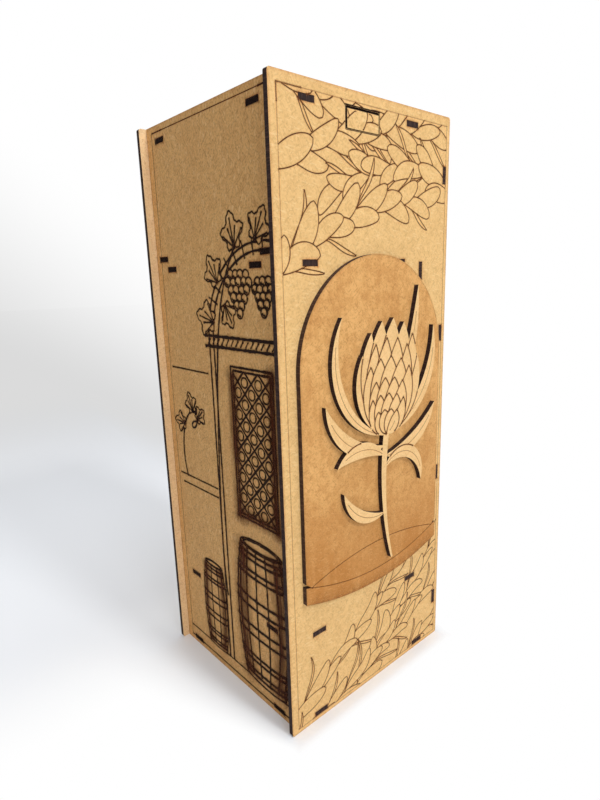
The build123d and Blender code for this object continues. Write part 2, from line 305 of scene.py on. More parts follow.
# A thread is THREAD_LENGTH times as long as it is wide. Streaks and char are drawn out, because their
# noise is read on coordinates shrunk to a share of their length. A surface is burnt edge where less
# than the first number of EDGE_TURN of its direction lies along the board's thickness, and face where
# more than the second does. PORE_SHARE of the face's relief is its pores.
THREAD_LENGTH = 6
STREAK_SHRINK = 0.14
CHAR_SHRINK = 0.12
EDGE_TURN = (0.3, 0.7)
PORE_SHARE = 0.6
GRAIN_ROUGHNESS = 0.16


@dataclass(frozen=True)
class Fibreboard:
    """Finish of laser-cut fibreboard: a flecked face and burnt edges.

    Attributes:
        name: what the board is called.
        face: colour of the pressed face.
        fleck: colour of its darker fibres.
        straw: colour of its paler fibres.
        stain: colour of the broad blotches.
        stain_share: how strong the blotches are.
        streaks: how strong the long upright streaks are.
        speckle: how strong the fine grain is.
        mottle: how strong the small soft spots are.
        foot_stain: how much stronger the blotches' colour is at the board's foot than at its top.
        threads: how strong the dark fibres are.
        gleam: how strong the pale fibres are.
        char: colour of the burnt edges.
        ember: colour of the paler spots on them.
        face_roughness: roughness of the face.
        edge_roughness: roughness of the burnt edges.
        foot_heights: heights between which the foot's stain fades out, in metres.
        foot_gaps: how much of that stain the streaks leave out.
        specks: how strong the dark specks are.
        dark_turns: directions of the dark fibres, in degrees.
        pale_turn: direction of the pale fibres, in degrees.
    """

    name: str
    face: Colour
    fleck: Colour
    straw: Colour
    stain: Colour
    stain_share: float = 0.25
    streaks: float = 0.0
    speckle: float = 0.5
    mottle: float = 0.34
    foot_stain: float = 0.0
    threads: float = 0.4
    gleam: float = 0.42
    char: Colour = seen(40, 26, 23)
    ember: Colour = seen(78, 50, 36)
    face_roughness: float = 0.62
    edge_roughness: float = 0.75
    foot_heights: Pair = (0.07, 0.17)
    foot_gaps: float = 0.7
    specks: float = 0.75
    dark_turns: Pair = (35.0, -55.0)
    pale_turn: float = 80.0

    def fibres(self, graph: Graph, place: Signal, turn: float, axis: Axis) -> Signal:
        """Thin fibres that lie in one direction of the face.

        Noise is read on coordinates turned about the board's thickness and shrunk THREAD_LENGTH
        times along one way, so that its spots become threads.

        Args:
            graph: the material's graph.
            place: object coordinates.
            turn: direction of the threads, in degrees.
            axis: the way through the board.

        Returns:
            1 on a thread and 0 beside it.
        """
        angles = [0.0, 0.0, 0.0]
        angles[axis.value] = math.radians(turn)
        turned = graph.node("ShaderNodeMapping", {}, {"Vector": place, "Rotation": angles})
        stretch = [1.0, 1.0, 1.0]
        stretch[(axis.value + 1) % 3] = 1 / THREAD_LENGTH
        return THREADS.on(graph, turned.stretched(*stretch))

    def ready(self, axis: Axis) -> bpy.types.Material:
        """The finish for boards that lie square to one axis, which is made only once."""
        return bpy.data.materials.get(f"{self.name}_{axis.name.lower()}") or self.material(axis)

    def material(self, axis: Axis) -> bpy.types.Material:
        """Makes the finish for boards that lie square to one axis.

        Args:
            axis: the way through the board.

        Returns:
            The material.
        """
        made, graph = new_material(f"{self.name}_{axis.name.lower()}")
        place = graph.place()
        edge = 1 - abs(graph.facing().part(axis.value)).rises(*EDGE_TURN)

        blotch = BLOTCHES.on(graph, place)
        streak = STREAKS.on(graph, place.stretched(1.0, 1.0, STREAK_SHRINK))
        spots = MOTTLE.on(graph, place)
        grain = GRAIN.noise(graph, place)
        pores = PORES.noise(graph, place)
        specks = SPECKS.on(graph, place)
        low = (1 - place.part(2).rises(*self.foot_heights)) * self.foot_stain
        share = blotch * self.stain_share + streak * self.streaks + low * (1 - streak * self.foot_gaps)
        stained = graph.mixed(share, self.face, self.stain)
        mottled = graph.mixed(spots * self.mottle, stained, self.stain)
        grained = graph.mixed(GRAIN.cut(grain) * self.speckle, mottled, self.fleck)
        first, second = (self.fibres(graph, place, turn, axis) for turn in self.dark_turns)
        threads = first.larger(second)
        dark = graph.mixed((threads * self.threads).larger(specks * self.specks), grained, self.fleck)
        pale = self.fibres(graph, place, self.pale_turn, axis).larger(PALE_SPOTS.on(graph, place))
        face = graph.mixed(pale * self.gleam, dark, self.straw)

        across = [1.0, 1.0, 1.0]
        across[axis.value] = CHAR_SHRINK
        scorch = CHAR.noise(graph, place.stretched(*across))
        burnt = graph.mixed(CHAR.cut(scorch), self.char, self.ember)

        relief = (pores * PORE_SHARE + threads * (1 - PORE_SHARE)) * (1 - edge) + scorch * edge
        rough = self.face_roughness + (grain - 0.5) * GRAIN_ROUGHNESS
        surface = graph.principled(
            {
                "Base Color": graph.mixed(edge, face, burnt),
                "Roughness": rough + (self.edge_roughness - self.face_roughness) * edge,
                "Specular IOR Level": 0.15,
                "Normal": graph.bump(relief, depth=0.06),
            }
        )
        graph.close(surface)
        return made


@dataclass(frozen=True)
class Dowel:
    """Finish of a turned beech dowel: long grain on its side and pores on its ends.

    Attributes:
        name: what the wood is called.
        pale: colour of its softer grain.
        dark: colour of its harder grain.
        grain: the lines on its side and the levels where they show.
        pores: the dots on its ends.
        grain_shrink: how much the grain is drawn out upright.
        end_turn: how far up or down the surface faces where the side turns into an end.
    """

    name: str = "dowel"
    pale: Colour = seen(222, 190, 142)
    dark: Colour = seen(178, 134, 88)
    grain: Spots = Spots(0.5, 3, 0.35, 0.75)
    pores: Spots = Spots(0.35, 2)
    grain_shrink: float = 0.05
    end_turn: Pair = (0.6, 0.9)

    def material(self) -> bpy.types.Material:
        """Makes the finish for an upright dowel.

        Returns:
            The material.
        """
        made, graph = new_material(self.name)
        place = graph.place()
        end = abs(graph.facing().part(2)).rises(*self.end_turn)
        grain = self.grain.noise(graph, place.stretched(1.0, 1.0, self.grain_shrink))
        pores = self.pores.noise(graph, place)
        pattern = grain * (1 - end) + pores * end
        surface = graph.principled(
            {
                "Base Color": graph.mixed(self.grain.cut(pattern), self.pale, self.dark),
                "Roughness": 0.5 + pattern * 0.25,
                "Normal": graph.bump(pattern, depth=0.05),
            }
        )
        graph.close(surface)
        return made


# The core's width follows WANDER, its edge lies between the shares CORE_EDGE of that width, and the
# rim's smoke is the noise PUFFS times PUFF_GAIN less PUFF_LOSS.
WANDER = Spots(3.2, 3)
PUFFS = Spots(2.6, 3)
PUFF_GAIN = 2.4
PUFF_LOSS = 0.2
CORE_EDGE = (0.75, 1.3)


@dataclass(frozen=True)
class Burn:
    """Finish of a burnt line: a dark core that fades through a brown rim into the bare board.

    A stroke's attribute holds how far across it a point lies, from -1 to 1, how far past its end,
    from 0 to 1, and how strong it is.

    Attributes:
        name: what the burn is called.
        core: colour of the middle.
        rim: colour of the scorched rim.
        core_share: share of the half width that the core takes.
        core_alpha: how dense the core is.
        rim_alpha: how dense the rim is beside the core.
        ragged: how much the core's width wanders.
        smear: how much its smoke is drawn out upright, 1 for round puffs and less for streaks.
        fade: over 1, the rim thins out faster away from the core.
    """

    name: str
    core: Colour
    rim: Colour
    core_share: float
    core_alpha: float = 0.95
    rim_alpha: float = 0.4
    ragged: float = 0.35
    smear: float = 1.0
    fade: float = 1.8

    def ready(self) -> bpy.types.Material:
        """The finish, which is made only once."""
        return bpy.data.materials.get(self.name) or self.material()

    def material(self) -> bpy.types.Material:
        """Makes the finish for a ribbon of burnt lines.

        Returns:
            The material.
        """
        made, graph = new_material(self.name)
        place = graph.place()
        stroke = graph.node("ShaderNodeAttribute", {"attribute_name": STROKE_ATTRIBUTE}, {}, "Vector")
        away = (stroke.part(0) ** 2 + stroke.part(1) ** 2) ** 0.5
        wander = WANDER.noise(graph, place) - 0.5
        limit = self.core_share * (1 + wander * (2 * self.ragged))
        core = 1 - away.rises(limit * CORE_EDGE[0], limit * CORE_EDGE[1])
        smoke = PUFFS.noise(graph, place.stretched(1.0, 1.0, self.smear)) * PUFF_GAIN - PUFF_LOSS
        rim = (1 - away).larger(0.0) ** self.fade * smoke.larger(0.0) * self.rim_alpha
        alpha = (core * self.core_alpha).larger(rim) * stroke.part(2)
        surface = graph.principled(
            {
                "Base Color": graph.mixed(core, self.rim, self.core),
                "Roughness": 0.8,
                "Specular IOR Level": 0.1,
                "Alpha": alpha,
                "Normal": graph.bump(1 - core, depth=0.12),
            }
        )
        graph.close(surface)
        return made


LIGHT_BOARD = Fibreboard(
    "light_board",
    face=seen(243, 201, 137),
    fleck=seen(200, 154, 94),
    straw=seen(253, 222, 166),
    stain=seen(226, 182, 120),
    char=seen(46, 33, 31),
    ember=seen(90, 66, 58),
)
FLOWER_BOARD = replace(
    LIGHT_BOARD,
    name="flower_board",
    face=seen(250, 208, 148),
    speckle=0.3,
    mottle=0.2,
    threads=0.2,
    gleam=0.3,
)
# A darker, warmer copy of the light board for the left panel: painted shade of the side that faces away from
# the key, with the warm tint of bounced light, and stronger mottle and fibres that stand in for grazing
# light.
SHADED_LEFT_BOARD = Fibreboard(
    "shaded_left_board",
    face=seen(238, 188, 121),
    fleck=seen(190, 138, 82),
    straw=seen(250, 210, 152),
    stain=seen(222, 168, 106),
    speckle=0.85,
    mottle=0.55,
    threads=0.6,
    gleam=0.7,
)
# A paler copy of the light board for the back panel: painted light on the strip of it seen beside the left
# panel, which the case shades from the key.
LIT_BACK_BOARD = Fibreboard(
    "lit_back_board",
    face=seen(250, 216, 166),
    fleck=seen(206, 164, 118),
    straw=seen(253, 230, 194),
    stain=seen(232, 194, 148),
)
DARK_BOARD = Fibreboard(
    "dark_board",
    face=seen(235, 182, 115),
    fleck=seen(172, 116, 62),
    straw=seen(243, 198, 134),
    stain=seen(194, 132, 68),
    streaks=0.25,
    speckle=0.4,
    mottle=0.35,
    foot_stain=0.9,
    threads=0.45,
    gleam=0.25,
    char=seen(64, 47, 41),
    ember=seen(104, 80, 64),
)
INNER_STRIP = Fibreboard(
    "inner_strip",
    face=seen(226, 184, 130),
    fleck=seen(180, 138, 90),
    straw=seen(240, 208, 160),
    stain=seen(205, 160, 108),
)
DOWEL = Dowel()
FINE_SCORE = Burn("fine_score", seen(84, 48, 26), seen(190, 116, 52), 0.3, 0.92, 0.36)
DEEP_SCORE = Burn("deep_score", seen(34, 20, 15), seen(120, 68, 34), 0.42, 0.97, 0.75, 0.9)
FAINT_SCORE = Burn("faint_score", seen(150, 98, 54), seen(206, 150, 92), 0.28, 0.75, 0.15)
SEAM = Burn("seam", seen(38, 24, 18), seen(120, 70, 36), 0.6, 0.97, 0.4, 0.12)
SMOKE = Burn("smoke", seen(70, 40, 30), seen(84, 40, 18), 0.02, 0.0, 0.95, smear=0.1, fade=1.2)
EDGE_GLOW = Burn("edge_glow", seen(190, 118, 60), seen(190, 116, 54), 0.02, 0.0, 0.5)
BROWN_GLOW = Burn("brown_glow", seen(150, 98, 54), seen(150, 98, 54), 0.02, 0.0, 0.5, fade=1.4)
# Brown band of painted shade that darkens the left panel beside its front edge, where the front panel's
# overhang shades it.
PAINTED_EDGE_SHADE = Burn("soot", seen(120, 76, 36), seen(120, 76, 36), 0.02, 0.0, 0.5, smear=0.2, fade=2.2)


@dataclass(frozen=True)
class Rect:
    """Upright rectangle on a face.

    Attributes:
        u: its left and its right limit.
        v: its lower and its upper limit.
    """

    u: Pair
    v: Pair

    @classmethod
    def around(cls, points: Points) -> "Rect":
        """The smallest rectangle that holds some points."""
        return cls(*zip(points.min(0), points.max(0)))

    def inside(self, points: Points, margin: float = 0.0) -> Points:
        """Which points lie inside it, at least a margin from its sides.

        Args:
            points: the points.
            margin: least way to its sides, in millimetres.

        Returns:
            True for each point inside.
        """
        u, v = points[:, 0], points[:, 1]
        across = (u > self.u[0] + margin) & (u < self.u[1] - margin)
        return across & (v > self.v[0] + margin) & (v < self.v[1] - margin)

    def shrunk(self, margin: float) -> "Rect":
        """The rectangle that lies a margin inside it on every side."""
        (u0, u1), (v0, v1) = self.u, self.v
        return Rect((u0 + margin, u1 - margin), (v0 + margin, v1 - margin))

    def corners(self) -> Points:
        """Its corners, anticlockwise from the lower left one."""
        (u0, u1), (v0, v1) = self.u, self.v
        return np.array([(u0, v0), (u1, v0), (u1, v1), (u0, v1)], float)

    def border(self) -> list[Points]:
        """Its four sides, as lines that go round anticlockwise from the lower left corner."""
        corners = self.corners()
        return list(np.stack([corners, np.roll(corners, -1, axis=0)], axis=1))


@dataclass(frozen=True)
class Face:
    """Flat side of a board that carries drawings.

    Attributes:
        plane: a point on it, in metres.
        across: direction that its drawings call right.
        up: direction that they call up. Across times up points out of the board.
    """

    plane: tuple[float, float, float]
    across: tuple[float, float, float]
    up: tuple[float, float, float] = (0.0, 0.0, 1.0)

    @property
    def outwards(self) -> Points:
        """Direction out of the board."""
        return np.cross(self.across, self.up)

    def flat(self, places: Points) -> Points:
        """Points of the scene, in metres, as points on the face, in millimetres."""
        return places @ np.stack([self.across, self.up], axis=1) / MM

    def raised(self, points: Points, height: Points | float) -> Points:
        """Points on the face, in millimetres, as points of the scene at a height over it.

        A point is plane + across * u + up * v + outwards * height, where the plane's own offset
        along its normal is all that is taken from it.

        Args:
            points: u and v of each point.
            height: how far out of the board they lie, in millimetres.

        Returns:
            The points in metres.
        """
        offset = np.dot(self.plane, self.outwards)
        along = points @ np.stack([self.across, self.up]) * MM
        return along + np.outer(np.broadcast_to(height, len(points)) * MM + offset, self.outwards)

    def rect(self, node: str) -> Rect:
        """The rectangle that a board covers, seen square to this face."""
        return Rect.around(self.flat(np.array(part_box(node))))


class Side(Enum):
    """Sides of an upright board: the corner of its box that lies on each, and the way to its right."""

    FRONT = (0, (1.0, 0.0, 0.0))
    LEFT = (0, (0.0, -1.0, 0.0))
    RIGHT = (1, (0.0, 1.0, 0.0))
    BACK = (1, (-1.0, 0.0, 0.0))

    def of(self, node: str) -> Face:
        """This side of a board, as it is seen from outside."""
        corner, across = self.value
        return Face(tuple(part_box(node)[corner]), across)


@dataclass(frozen=True)
class Stroke:
    """A burnt line on a face.

    Attributes:
        points: u and v along it, in millimetres.
        spread: half the width of the whole burn, rim included.
        tone: how strong it is, 0 to 1.
        sides: which of its two sides are there, left and right of its direction.
    """

    points: Points
    spread: float
    tone: float = 1.0
    sides: Pair = (1.0, 1.0)


def rotated(vectors: Points) -> Points:
    """Each vector turned a quarter turn to the left."""
    return np.stack([-vectors[:, 1], vectors[:, 0]], axis=1)


def unit(vectors: Points) -> Points:
    """Each vector at a length of 1."""
    return vectors / np.maximum(np.linalg.norm(vectors, axis=1, keepdims=True), 1e-9)


def dense(points: Points, pitch: float) -> Points:
    """Puts points at equal steps along a line.

    Args:
        points: corners of the line.
        pitch: the longest step, in millimetres.

    Returns:
        The same line with even steps.
    """
    lengths = np.linalg.norm(np.diff(points, axis=0), axis=1)
    reached = np.concatenate([[0.0], np.cumsum(lengths)])
    steps = np.linspace(0, reached[-1], max(3, math.ceil(reached[-1] / pitch) + 1))
    return np.stack([np.interp(steps, reached, points[:, i]) for i in (0, 1)], axis=1)


def closed(outline: Points) -> Points:
    """An outline with its first point again at its end."""
    return np.concatenate([outline, outline[:1]])


def towards(angle: float) -> Points:
    """Vector of length 1 at an angle, in degrees."""
    turn = math.radians(angle)
    return np.array([math.cos(turn), math.sin(turn)])


def curve(points: Sequence[Pair], count: int = 40) -> Points:
    """Smooth curve that a few points lead from the first to the last.

    Point k of n counts with the weight (n over k) * t ** k * (1 - t) ** (n - k) at each step t.

    Args:
        points: the points that lead it.
        count: points on the curve.

    Returns:
        The curve's points.
    """
    led = np.asarray(points, float)
    order = np.arange(len(led))
    n = len(led) - 1
    t = np.linspace(0, 1, count)[:, None]
    weights = np.array([math.comb(n, k) for k in order]) * t**order * (1 - t) ** (n - order)
    return weights @ led


def arc(centre: Pair, radii: Pair | float, start: float, stop: float, count: int = 40) -> Points:
    """Part of an ellipse, or of a circle, which has one radius.

    Its points are centre + (radii[0] * cos(angle), radii[1] * sin(angle)).

    Args:
        centre: its middle.
        radii: radius across and radius up.
        start: first angle, in degrees.
        stop: last angle, in degrees.
        count: points on it.

    Returns:
        Its points.
    """
    wide, tall = np.broadcast_to(radii, 2)
    angle = np.radians(np.linspace(start, stop, count))
    return np.asarray(centre) + np.stack([wide * np.cos(angle), tall * np.sin(angle)], axis=1)


DWELL_SWELL = 0.35
DWELL_LENGTH = 1.3


def ribbon(stroke: Stroke) -> tuple[Points, Points, Points]:
    """Turns a stroke into a flat ribbon.

    At each point p with normal n, the ribbon has the points p + n * w and p - n * w, where w is
    spread * (1 + DWELL_SWELL * exp(-(d / DWELL_LENGTH) ** 2)) and d is the way to the nearer end,
    because the laser dwells there. One more step at each end lets the line's end be round.

    Args:
        stroke: the stroke.

    Returns:
        Its points on the face, its quads and its attribute, which is across, past the end, tone.
    """
    along = unit(np.gradient(stroke.points, axis=0))
    ends = [stroke.points[:1] - along[:1] * stroke.spread, stroke.points[-1:] + along[-1:] * stroke.spread]
    middle = np.concatenate([ends[0], stroke.points, ends[1]])
    along = np.concatenate([along[:1], along, along[-1:]])
    step = np.linalg.norm(stroke.points[1] - stroke.points[0])
    count = len(middle)
    to_end = np.minimum(np.arange(count), np.arange(count)[::-1]) * step
    swell = 1 + DWELL_SWELL * np.exp(-((to_end / DWELL_LENGTH) ** 2))
    normal = rotated(along) * (stroke.spread * swell)[:, None]
    points = np.concatenate([middle + normal * stroke.sides[0], middle - normal * stroke.sides[1]])
    past = np.zeros(count)
    past[[0, -1]] = 1.0
    across = np.concatenate([np.full(count, stroke.sides[0]), np.full(count, -stroke.sides[1])])
    attribute = np.stack([across, np.tile(past, 2), np.full(2 * count, stroke.tone)], axis=1)
    first = np.arange(count - 1)
    quads = np.stack([first + count, first + count + 1, first + 1, first], axis=1)
    return points, quads, attribute


LIFT = 0.045
LIFT_STEP = 0.004
LIFT_LAYERS = 10


def burn_in(
    name: str,
    face: Face,
    strokes: Sequence[Stroke],
    finish: Burn,
    body: str,
    lift: float = 0.03,
    limit: Rect | None = None,
) -> None:
    """Makes one piece of all the strokes of a drawing and lays it on its face.

    Neighbouring strokes lie a few thousandths of a millimetre apart in height, and each rises by
    nearly that much along its length, so that nothing coincides where strokes cross or turn back.

    Args:
        name: name of the piece.
        face: the face it lies on.
        strokes: the strokes.
        finish: its material.
        body: the body it moves with.
        lift: height over the face, in millimetres.
        limit: rectangle that every ribbon is held inside, or None.
    """
    if not strokes:
        log.info("%s has no strokes", name)
        return
    places, quads, attributes, start = [], [], [], 0
    for i, stroke in enumerate(strokes):
        points, faces, attribute = ribbon(stroke)
        if limit is not None:
            points = np.clip(points, [limit.u[0], limit.v[0]], [limit.u[1], limit.v[1]])
        climb = np.tile(np.linspace(0, 0.9, len(points) // 2), 2)
        places.append(face.raised(points, lift + LIFT_STEP * (i % LIFT_LAYERS + climb)))
        quads.append(faces + start)
        attributes.append(attribute)
        start += len(points)
    mesh = bpy.data.meshes.new(name)
    mesh.from_pydata(np.concatenate(places), [], np.concatenate(quads))
    values = mesh.attributes.new(STROKE_ATTRIBUTE, "FLOAT_VECTOR", "POINT")
    values.data.foreach_set("vector", np.concatenate(attributes).astype(np.float32).ravel())
    mesh.materials.append(finish.ready())
    piece = add_object(name, mesh)
    piece.visible_shadow = False
    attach(piece, body)
    log.info("%s: %d strokes, %d faces on body %s", name, len(strokes), len(mesh.polygons), body)


def within(points: Points, outline: Points) -> Points:
    """Finds which points lie inside a closed outline.

    A line from the point to the right crosses the outline an odd number of times if it does.

    Args:
        points: the points.
        outline: corners of the outline.

    Returns:
        True for each point inside.
    """
    low, high = outline.min(0), outline.max(0)
    found = np.all((points > low) & (points < high), axis=1)
    near = points[found]
    u, v = near[:, :1], near[:, 1:]
    u0, v0 = outline[:, 0], outline[:, 1]
    u1, v1 = np.roll(u0, -1), np.roll(v0, -1)
    rise = np.where(v1 == v0, 1.0, v1 - v0)
    crossed = ((v0 > v) != (v1 > v)) & (u < u0 + (v - v0) / rise * (u1 - u0))
    found[found] = np.count_nonzero(crossed, axis=1) % 2 == 1
    return found


class Ink(Enum):
    """The kinds of burnt line."""

    FINE = "fine"
    DEEP = "deep"
    FAINT = "faint"
    SMOKE = "smoke"
    GLOW = "glow"


@dataclass(frozen=True)
class Pen:
    """A kind of burnt line at one width.

    Attributes:
        ink: the kind of line.
        spread: half the width of the whole burn, rim included, in millimetres.
        tone: how strong it is, 0 to 1.
    """

    ink: Ink
    spread: float
    tone: float = 1.0


@dataclass(frozen=True)
class Mark:
    """A line of a drawing before what hides it is known.

    Attributes:
        points: u and v along it, in millimetres.
        pen: the pen it is drawn with.
        layer: shapes with a higher layer hide it.
        sides: as for Stroke.
    """

    points: Points
    pen: Pen
    layer: int
    sides: Pair = (1.0, 1.0)


@dataclass
class Drawing:
    """Line drawing on a face, laid down from back to front.

    Each shape hides the lines of earlier shapes under it, as an object hides what is behind it.

    Attributes:
        field: the rectangle that it stays inside.
        holes: outlines where nothing is burnt, such as tab ends.
        pitch: longest step along a line, in millimetres.
        shortest: pieces of line shorter than this are left out, in millimetres.
        layer: how many shapes have been drawn.
        marks: the lines that have been drawn.
        covers: the shapes, each with its layer.
    """

    field: Rect
    holes: Sequence[Points] = ()
    pitch: float = 0.7
    shortest: float = 2.2
    layer: int = 0
    marks: list[Mark] = field(default_factory=list)
    covers: list[tuple[int, Points]] = field(default_factory=list)

    def line(self, pen: Pen, *lines: Points | Sequence[Pair]) -> None:
        """Draws open lines that hide nothing."""
        self.marks += [Mark(np.asarray(line, float), pen, self.layer) for line in lines]

    def shape(self, pen: Pen, outline: Points) -> None:
        """Draws a closed outline, which hides what was drawn before it.

        Args:
            pen: the pen.
            outline: corners of the outline.
        """
        self.layer += 1
        self.covers.append((self.layer, outline))
        self.line(pen, closed(outline))

    def cut(self, pen: Pen, line: Sequence[Pair]) -> list[Mark]:
        """Marks for the part of a line inside this drawing's field.

        Args:
            pen: the pen.
            line: corners of the line.

        Returns:
            One mark, or none where too little of the line lies inside.
        """
        points = dense(np.asarray(line, float), self.pitch)
        points = points[self.field.inside(points)]
        return [Mark(points, pen, self.layer)] if len(points) > 3 else []

    def shown(self, mark: Mark, points: Points) -> Points:
        """Which points of a mark show.

        Args:
            mark: the mark.
            points: points along it.

        Returns:
            True for each point that shows.
        """
        keep = self.field.inside(points, margin=-0.05)
        for layer, outline in self.covers:
            if layer > mark.layer:
                keep &= ~within(points, outline)
        for hole in self.holes:
            keep &= ~within(points, hole)
        return keep

    def strokes(self, part: Callable[[Points], Points] | None = None) -> dict[Ink, list[Stroke]]:
        """Cuts the lines where they are hidden.

        Args:
            part: says which points belong to the part of the face that is wanted, or None for all.

        Returns:
            The strokes that show, by ink.
        """
        made: dict[Ink, list[Stroke]] = {}
        for mark in self.marks:
            points = dense(mark.points, self.pitch)
            keep = self.shown(mark, points)
            if part is not None:
                keep &= part(points)
            edges = np.flatnonzero(np.diff(np.concatenate([[0], keep.astype(int), [0]])))
            for first, last in zip(edges[::2], edges[1::2]):
                if last - first > max(2, self.shortest / self.pitch):
                    stroke = Stroke(points[first:last], mark.pen.spread, mark.pen.tone, mark.sides)
                    made.setdefault(mark.pen.ink, []).append(stroke)
        return made

    def burn(
        self,
        name: str,
        face: Face,
        body: str,
        part: Callable[[Points], Points] | None = None,
        limit: Rect | None = None,
    ) -> None:
        """Burns the drawing, or a part of it, into a face: one piece for each ink.

        Args:
            name: start of the pieces' names.
            face: the face.
            body: the body that the pieces move with.
            part: as for strokes.
            limit: as for burn_in.
        """
        for i, (ink, strokes) in enumerate(self.strokes(part).items()):
            burn_in(f"{name}_{ink.value}", face, strokes, INK_FINISH[ink], body, LIFT * (1 + i), limit)


LONGEST_TAB = 12.0
HALO_RADIUS = 0.15
INK_FINISH = {
    Ink.FINE: FINE_SCORE,
    Ink.DEEP: DEEP_SCORE,
    Ink.FAINT: FAINT_SCORE,
    Ink.SMOKE: SMOKE,
    Ink.GLOW: EDGE_GLOW,
}


def tab_ends(node: str, face: Face) -> list[Rect]:
    """Finds where a board's tabs end on a face.

    The corners of the tabs are the board's points on the face's plane. They fall into groups
    wherever a gap is longer than a tab.

    Args:
        node: the board.
        face: the face.

    Returns:
        The rectangle of each tab end.
    """
    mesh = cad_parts[node].data
    places = np.zeros(len(mesh.vertices) * 3, np.float32)
    mesh.vertices.foreach_get("co", places)
    places = places.reshape(-1, 3).astype(float)
    distance = places @ face.outwards - np.dot(face.plane, face.outwards)
    corners = [face.flat(places[np.abs(distance) < 0.01 * MM])]
    for axis in (0, 1):
        split = []
        for group in corners:
            ordered = group[np.argsort(group[:, axis])]
            cuts = np.flatnonzero(np.diff(ordered[:, axis]) > LONGEST_TAB) + 1
            split += np.split(ordered, cuts)
        corners = [group for group in split if len(group)]
    return [Rect.around(group) for group in corners]


def halo(rect: Rect, spread: float, tone: float) -> Stroke:
    """Scorched halo round a slot: a closed one-sided stroke with its rim outside the rectangle.

    Args:
        rect: the slot.
        spread: width of the halo, in millimetres.
        tone: how strong it is, 0 to 1.

    Returns:
        The stroke.
    """
    around = zip(np.roll(rect.corners(), -1, axis=0), (-90, 0, 90, 180))
    arcs = [arc(corner, HALO_RADIUS, turn, turn + 90, 5) for corner, turn in around]
    return Stroke(closed(np.concatenate(arcs)), spread, tone, RIGHT_ONLY)


@dataclass(frozen=True)
class Lamp:
    """Square lamp that shines at the middle of the box.

    Attributes:
        name: its name.
        place: where it hangs, in metres.
        size: length of its sides, in metres.
        power: its power, in watts.
        target: height over the middle of the floor that it shines at, in metres.
    """

    name: str
    place: tuple[float, float, float]
    size: float
    power: float
    target: float = 0.15

    def hang(self) -> None:
        """Adds it to the scene."""
        data = bpy.data.lights.new(self.name, "AREA")
        data.size = self.size
        data.energy = self.power
        lamp = add_object(self.name, data)
        lamp.location = self.place
        aim = Vector((0, 0, self.target)) - Vector(self.place)
        lamp.rotation_euler = aim.to_track_quat("-Z", "Y").to_euler()


